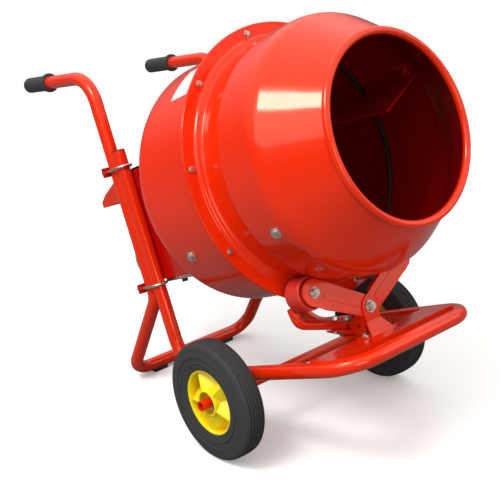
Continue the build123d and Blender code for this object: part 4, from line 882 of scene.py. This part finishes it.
class MIXER_OT_rims(bpy.types.Operator):
    """Moulded rims: lip, barrel, dished web and drafted ribs that run into the hub sleeve"""
    bl_idname = "mixer.rims"
    bl_label = "Rims"

    def execute(self, context):
        w = context.scene.mixer_wheels
        made = paints(context.scene)
        for word, way in SIDES:
            out, radius = self.shape(w)
            turn = full_turn(out.shape[1])
            x = way * (WHEEL_X + out)
            y = AXLE_Y + radius * np.sin(turn)[None]
            z = AXLE_Z + radius * np.cos(turn)[None]
            grid = np.stack([x, y, z], axis=-1)
            skin(f"moulded_rim_{word}", [(grid, True, True)], [made["rim_yellow"]], f"wheel_{word}",
                 (f"wheel_rim_{word}",))
        return {"FINISHED"}

    def face(self, w, side, turn):
        """One side of the rim, from bore to lip: (outwards, radius) rows for every angle.

        Height is the larger of the dished web and the ribs; a rib's crest falls from hub to barrel
        and its flanks fall away with the distance from its middle plane.
        """
        hub, barrel = w.hub_radius, w.rim_radius - 0.0085
        lip = TYRE_W / 2 - 0.005
        r = np.linspace(hub, barrel, 40)
        out = (r - hub) / (barrel - hub)
        web = (0.004 - 0.010 * out) if side > 0 else (-0.004 - 0.009 * out)
        crest = (w.hub_half - 0.003 - 0.010 * out ** 1.3) * side
        angle = ((turn - w.rib_turn) * w.ribs / (2 * math.pi) + 0.5) % 1 - 0.5
        away = np.abs(r[:, None] * np.sin(angle * 2 * math.pi / w.ribs)[None])
        fall = np.maximum(away - w.rib_half, 0) * w.rib_draft
        soft = np.sqrt(fall ** 2 + 0.0010 ** 2) - 0.0010
        rib = side * crest[:, None] - soft
        base = side * web[:, None] + 0 * rib
        blend = 0.003
        height = np.maximum(rib, base) + np.maximum(blend - np.abs(rib - base), 0) ** 2 / (4 * blend)
        height = side * height
        top = side * w.hub_half
        if side > 0:
            floor = top - w.cup_depth
            bore = [(floor - 0.001, w.bore), (floor, w.bore + 0.001), (floor, w.cup_radius - 0.001),
                    (floor + 0.001, w.cup_radius), (top - 0.001, w.cup_radius), (top, w.cup_radius + 0.001)]
        else:
            bore = [(top + 0.0012, w.bore), (top, w.bore + 0.0012)]

        def ring(level, radius):
            """One row with the same height and radius at every angle."""
            return np.full_like(turn, level), np.full_like(turn, radius)

        rows = [ring(level, radius) for level, radius in bore]
        rows += [ring(top, hub - 0.0014), ring(top - side * 0.0004, hub - 0.0004),
                 ring(top - side * 0.0014, hub)]
        for share in (0.3, 0.6, 0.85):
            level = (top - side * 0.0014) * (1 - share) + height[0] * share
            rows.append((level, np.full_like(turn, hub)))
        rows += [(height[i], np.full_like(turn, r[i])) for i in range(len(r))]
        for share in (0.2, 0.45, 0.7, 0.9):
            level = height[-1] * (1 - share) + (side * (lip - 0.002)) * share
            rows.append((level, np.full_like(turn, barrel + 0.0008 * share)))
        for out_by, r_at in ((lip - 0.0007, barrel + 0.0016), (lip, barrel + 0.0032),
                             (lip, w.rim_radius - 0.0020), (lip - 0.0006, w.rim_radius - 0.0008),
                             (lip - 0.0018, w.rim_radius - 0.0003), (lip - 0.004, w.rim_radius - 0.0035)):
            rows.append(ring(side * out_by, r_at))
        return rows

    def shape(self, w):
        """Both sides joined round the outside and through the bore, as two arrays."""
        turn = full_turn(300)
        front, back = self.face(w, 1, turn), self.face(w, -1, turn)
        rows = front + back[::-1]
        return np.array([row[0] for row in rows]), np.array([row[1] for row in rows])


class MIXER_OT_rollers(bpy.types.Operator):
    """Drum rollers with rounded edges and a recessed ring in the face"""
    bl_idname = "mixer.rollers"
    bl_label = "Rollers"

    def execute(self, context):
        w, d = context.scene.mixer_wheels, context.scene.mixer_drum
        made = paints(context.scene)
        reach = d.track_radius + w.roller_radius + 0.0003
        big, long = w.roller_radius, w.roller_length
        bore = w.roller_bore
        profile = joined(
            (0.001, bore), line((0.001, bore + 0.001), (0.001, 0.0235), 4),
            rounded_run((0.001, 0.0245), (0.0055, 0.0262), 4),
            line((0.006, 0.027), (0.006, 0.0315), 3), rounded_run((0.0055, 0.0325), (0.0008, 0.0338), 4),
            line((0.0, 0.0345), (0.0, big - 0.003), 3), arc((0.003, big - 0.003), 0.003, 180, 90, 8),
            line((0.003, big), (long - 0.003, big), 10), arc((long - 0.003, big - 0.003), 0.003, 90, 0, 8),
            line((long, big - 0.003), (long, bore), 8))
        front = w.roller_back - long
        for word, way in SIDES:
            x = way * reach * math.sin(w.roller_angle)
            z = d.axis_height - reach * math.cos(w.roller_angle)
            grid = place(lathe(profile, (x, front, z), (0, 1, 0), 128))
            skin(f"drum_roller_{word}", [(grid, True, True)], [made["roller_red"]], f"roller_{word}",
                 (f"roller_{word}",))
        return {"FINISHED"}


def rounded_run(start, end, count):
    """S-shaped run between two profile points, flat at both ends."""
    start, end = np.asarray(start, float), np.asarray(end, float)
    t = np.linspace(0, 1, count)
    return start + (end - start) * np.stack([smooth(0, 1, t), t], axis=-1)


# Name, place, width and height, share of the key light's power, and tint.
LIGHTS = (
    ("window_light", (-2.15, -0.45, 3.3), (1.25, 0.75), 1.0, (1.0, 0.99, 0.97)),
    ("soft_light", (-2.9, -0.75, 3.2), (3.0, 3.0), 0.75, (1.0, 0.98, 0.95)),
    ("fill_light", (2.3, -2.6, 1.5), (1.6, 1.6), 0.16, (1.0, 0.97, 0.94)),
    ("front_light", (-1.2, -3.4, 1.2), (1.8, 1.4), 0.35, (1.0, 0.98, 0.96)),
)


class MIXER_OT_stage(bpy.types.Operator):
    """Pale floor, soft sky, window light and camera"""
    bl_idname = "mixer.stage"
    bl_label = "Studio"

    def execute(self, context):
        scene = context.scene
        s = scene.mixer_studio
        self.camera(scene, s)
        self.floor(scene, s)
        self.sky(scene, s)
        target = Vector(s.target)
        for name, spot, size, share, tint in LIGHTS:
            self.panel(scene, name, spot, target, size, s.key * share, tint)
        scene.view_settings.view_transform = "Standard"
        scene.view_settings.look = "None"
        return {"FINISHED"}

    def camera(self, scene, s):
        """Camera at target + distance (sin a cos e, -cos a cos e, sin e), rolled about its view."""
        level = math.cos(s.elevation)
        back = Vector((math.sin(s.azimuth) * level, -math.cos(s.azimuth) * level, math.sin(s.elevation)))
        right = (-back).cross(Vector((0, 0, 1))).normalized()
        up = back.cross(right)
        turned = right * math.cos(s.roll) + up * math.sin(s.roll)
        raised = up * math.cos(s.roll) - right * math.sin(s.roll)
        lens = bpy.data.cameras.new("camera")
        lens.sensor_width = 36.0
        lens.lens = s.lens
        camera = bpy.data.objects.new("camera", lens)
        scene.collection.objects.link(camera)
        matrix = camera.matrix_world.copy()
        for column, axis in enumerate((turned, raised, back)):
            for row in range(3):
                matrix[row][column] = axis[row]
        spot = Vector(s.target) + back * s.distance
        for row in range(3):
            matrix[row][3] = spot[row]
        camera.matrix_world = matrix
        scene.camera = camera

    def floor(self, scene, s):
        """Flat disc: rings of points on widening circles, so its far edge is well out of view."""
        count = 64
        turn = full_turn(count)
        rings = np.array([0.0, 0.5, 1.5, 5.0, 15.0, 45.0])
        grid = np.stack([rings[:, None] * np.cos(turn), rings[:, None] * np.sin(turn),
                         np.zeros((len(rings), count))], axis=-1)
        mesh = bpy.data.meshes.new("floor")
        index = np.arange(len(rings) * count).reshape(-1, count)
        across = np.roll(index, -1, axis=1)
        quads = np.stack([index[:-1], across[:-1], across[1:], index[1:]], axis=-1).reshape(-1, 4)
        mesh.from_pydata(grid.reshape(-1, 3).tolist(), [], quads[:, ::-1].tolist())
        floor = bpy.data.objects.new("floor", mesh)
        scene.collection.objects.link(floor)
        paint = Paint("pale_floor")
        cloud = paint.ramp(paint.noise(2.0, 3.0), 0.3, 0.7)
        tone = paint.mix(cloud * 0.5, rgba(s.floor), rgba(s.floor, 0.985))
        seen = paint.node("ShaderNodeBsdfPrincipled", None,
                          {"Base Color": tone, "Roughness": 0.9, "Specular IOR Level": 0.0,
                           "Emission Color": tone, "Emission Strength": 0.16})
        shade = paint.mix(cloud * 0.5, (0.20, 0.20, 0.20, 1), (0.24, 0.24, 0.24, 1))
        dim = paint.node("ShaderNodeBsdfPrincipled", None,
                         {"Base Color": shade, "Roughness": 0.9, "Specular IOR Level": 0.0})
        direct = paint.node("ShaderNodeLightPath", out="Is Camera Ray")
        paint.node_output(paint.node("ShaderNodeMixShader", None, [direct, dim, seen]))
        mesh.materials.append(paint.material)

    def sky(self, scene, s):
        """Bright overhead and dim near the horizon in reflections, plain and pale to the camera."""
        world = bpy.data.worlds.new("soft_sky")
        scene.world = world
        world.use_nodes = True
        tree = world.node_tree
        tree.nodes.clear()
        coords = tree.nodes.new("ShaderNodeTexCoord")
        split = tree.nodes.new("ShaderNodeSeparateXYZ")
        ramp = tree.nodes.new("ShaderNodeValToRGB")
        back = tree.nodes.new("ShaderNodeBackground")
        output = tree.nodes.new("ShaderNodeOutputWorld")
        stops = ((0.0, 0.16), (0.15, 0.20), (0.35, 0.55), (0.60, 1.05), (1.0, 1.30))
        while len(ramp.color_ramp.elements) < len(stops):
            ramp.color_ramp.elements.new(1.0)
        for element, (spot, level) in zip(ramp.color_ramp.elements, stops):
            element.position = spot
            element.color = (level, level * 0.99, level * 0.97, 1.0)
        back.inputs["Strength"].default_value = s.sky
        seen = tree.nodes.new("ShaderNodeBackground")
        seen.inputs["Color"].default_value = rgba(s.floor)
        path, either = tree.nodes.new("ShaderNodeLightPath"), tree.nodes.new("ShaderNodeMixShader")
        for a, b in ((coords.outputs["Generated"], split.inputs[0]),
                     (split.outputs["Z"], ramp.inputs[0]),
                     (ramp.outputs[0], back.inputs["Color"]),
                     (path.outputs["Is Camera Ray"], either.inputs[0]),
                     (back.outputs[0], either.inputs[1]),
                     (seen.outputs[0], either.inputs[2]),
                     (either.outputs[0], output.inputs["Surface"])):
            tree.links.new(a, b)

    def panel(self, scene, name, spot, target, size, power, tint):
        """Rectangular soft light that faces the target."""
        data = bpy.data.lights.new(name, "AREA")
        data.shape = "RECTANGLE"
        data.size, data.size_y = size
        data.energy = power
        data.color = tint
        light = bpy.data.objects.new(name, data)
        scene.collection.objects.link(light)
        light.location = spot
        light.rotation_euler = (target - Vector(spot)).to_track_quat("-Z", "Y").to_euler()


class MIXER_PT_panel(bpy.types.Panel):
    """Settings and steps of the mixer's looks"""
    bl_idname = "MIXER_PT_panel"
    bl_label = "Drum mixer"
    bl_space_type = "VIEW_3D"
    bl_region_type = "UI"
    bl_category = "Mixer"

    def draw(self, context):
        for group in GROUPS:
            box = self.layout.box()
            for name in getattr(context.scene, group).__annotations__:
                box.prop(getattr(context.scene, group), name)
        for operator in OPERATORS:
            self.layout.operator(operator.bl_idname)


OPERATORS = (MIXER_OT_finishes, MIXER_OT_drum, MIXER_OT_tubes, MIXER_OT_grips, MIXER_OT_tyres,
             MIXER_OT_rims, MIXER_OT_rollers, MIXER_OT_stage)


def register():
    """Add the settings, the operators and the panel."""
    for group, kind in GROUPS.items():
        bpy.utils.register_class(kind)
        setattr(bpy.types.Scene, group, bpy.props.PointerProperty(type=kind))
    for kind in OPERATORS + (MIXER_PT_panel,):
        bpy.utils.register_class(kind)


def unregister():
    """Take them away again, the last one first."""
    for kind in reversed(OPERATORS + (MIXER_PT_panel,)):
        bpy.utils.unregister_class(kind)
    for group, kind in GROUPS.items():
        delattr(bpy.types.Scene, group)
        bpy.utils.unregister_class(kind)


def main():
    """Run every step in order."""
    register()
    for operator in OPERATORS:
        family, step = operator.bl_idname.split(".")
        getattr(getattr(bpy.ops, family), step)()


if __name__ == "__main__":
    main()
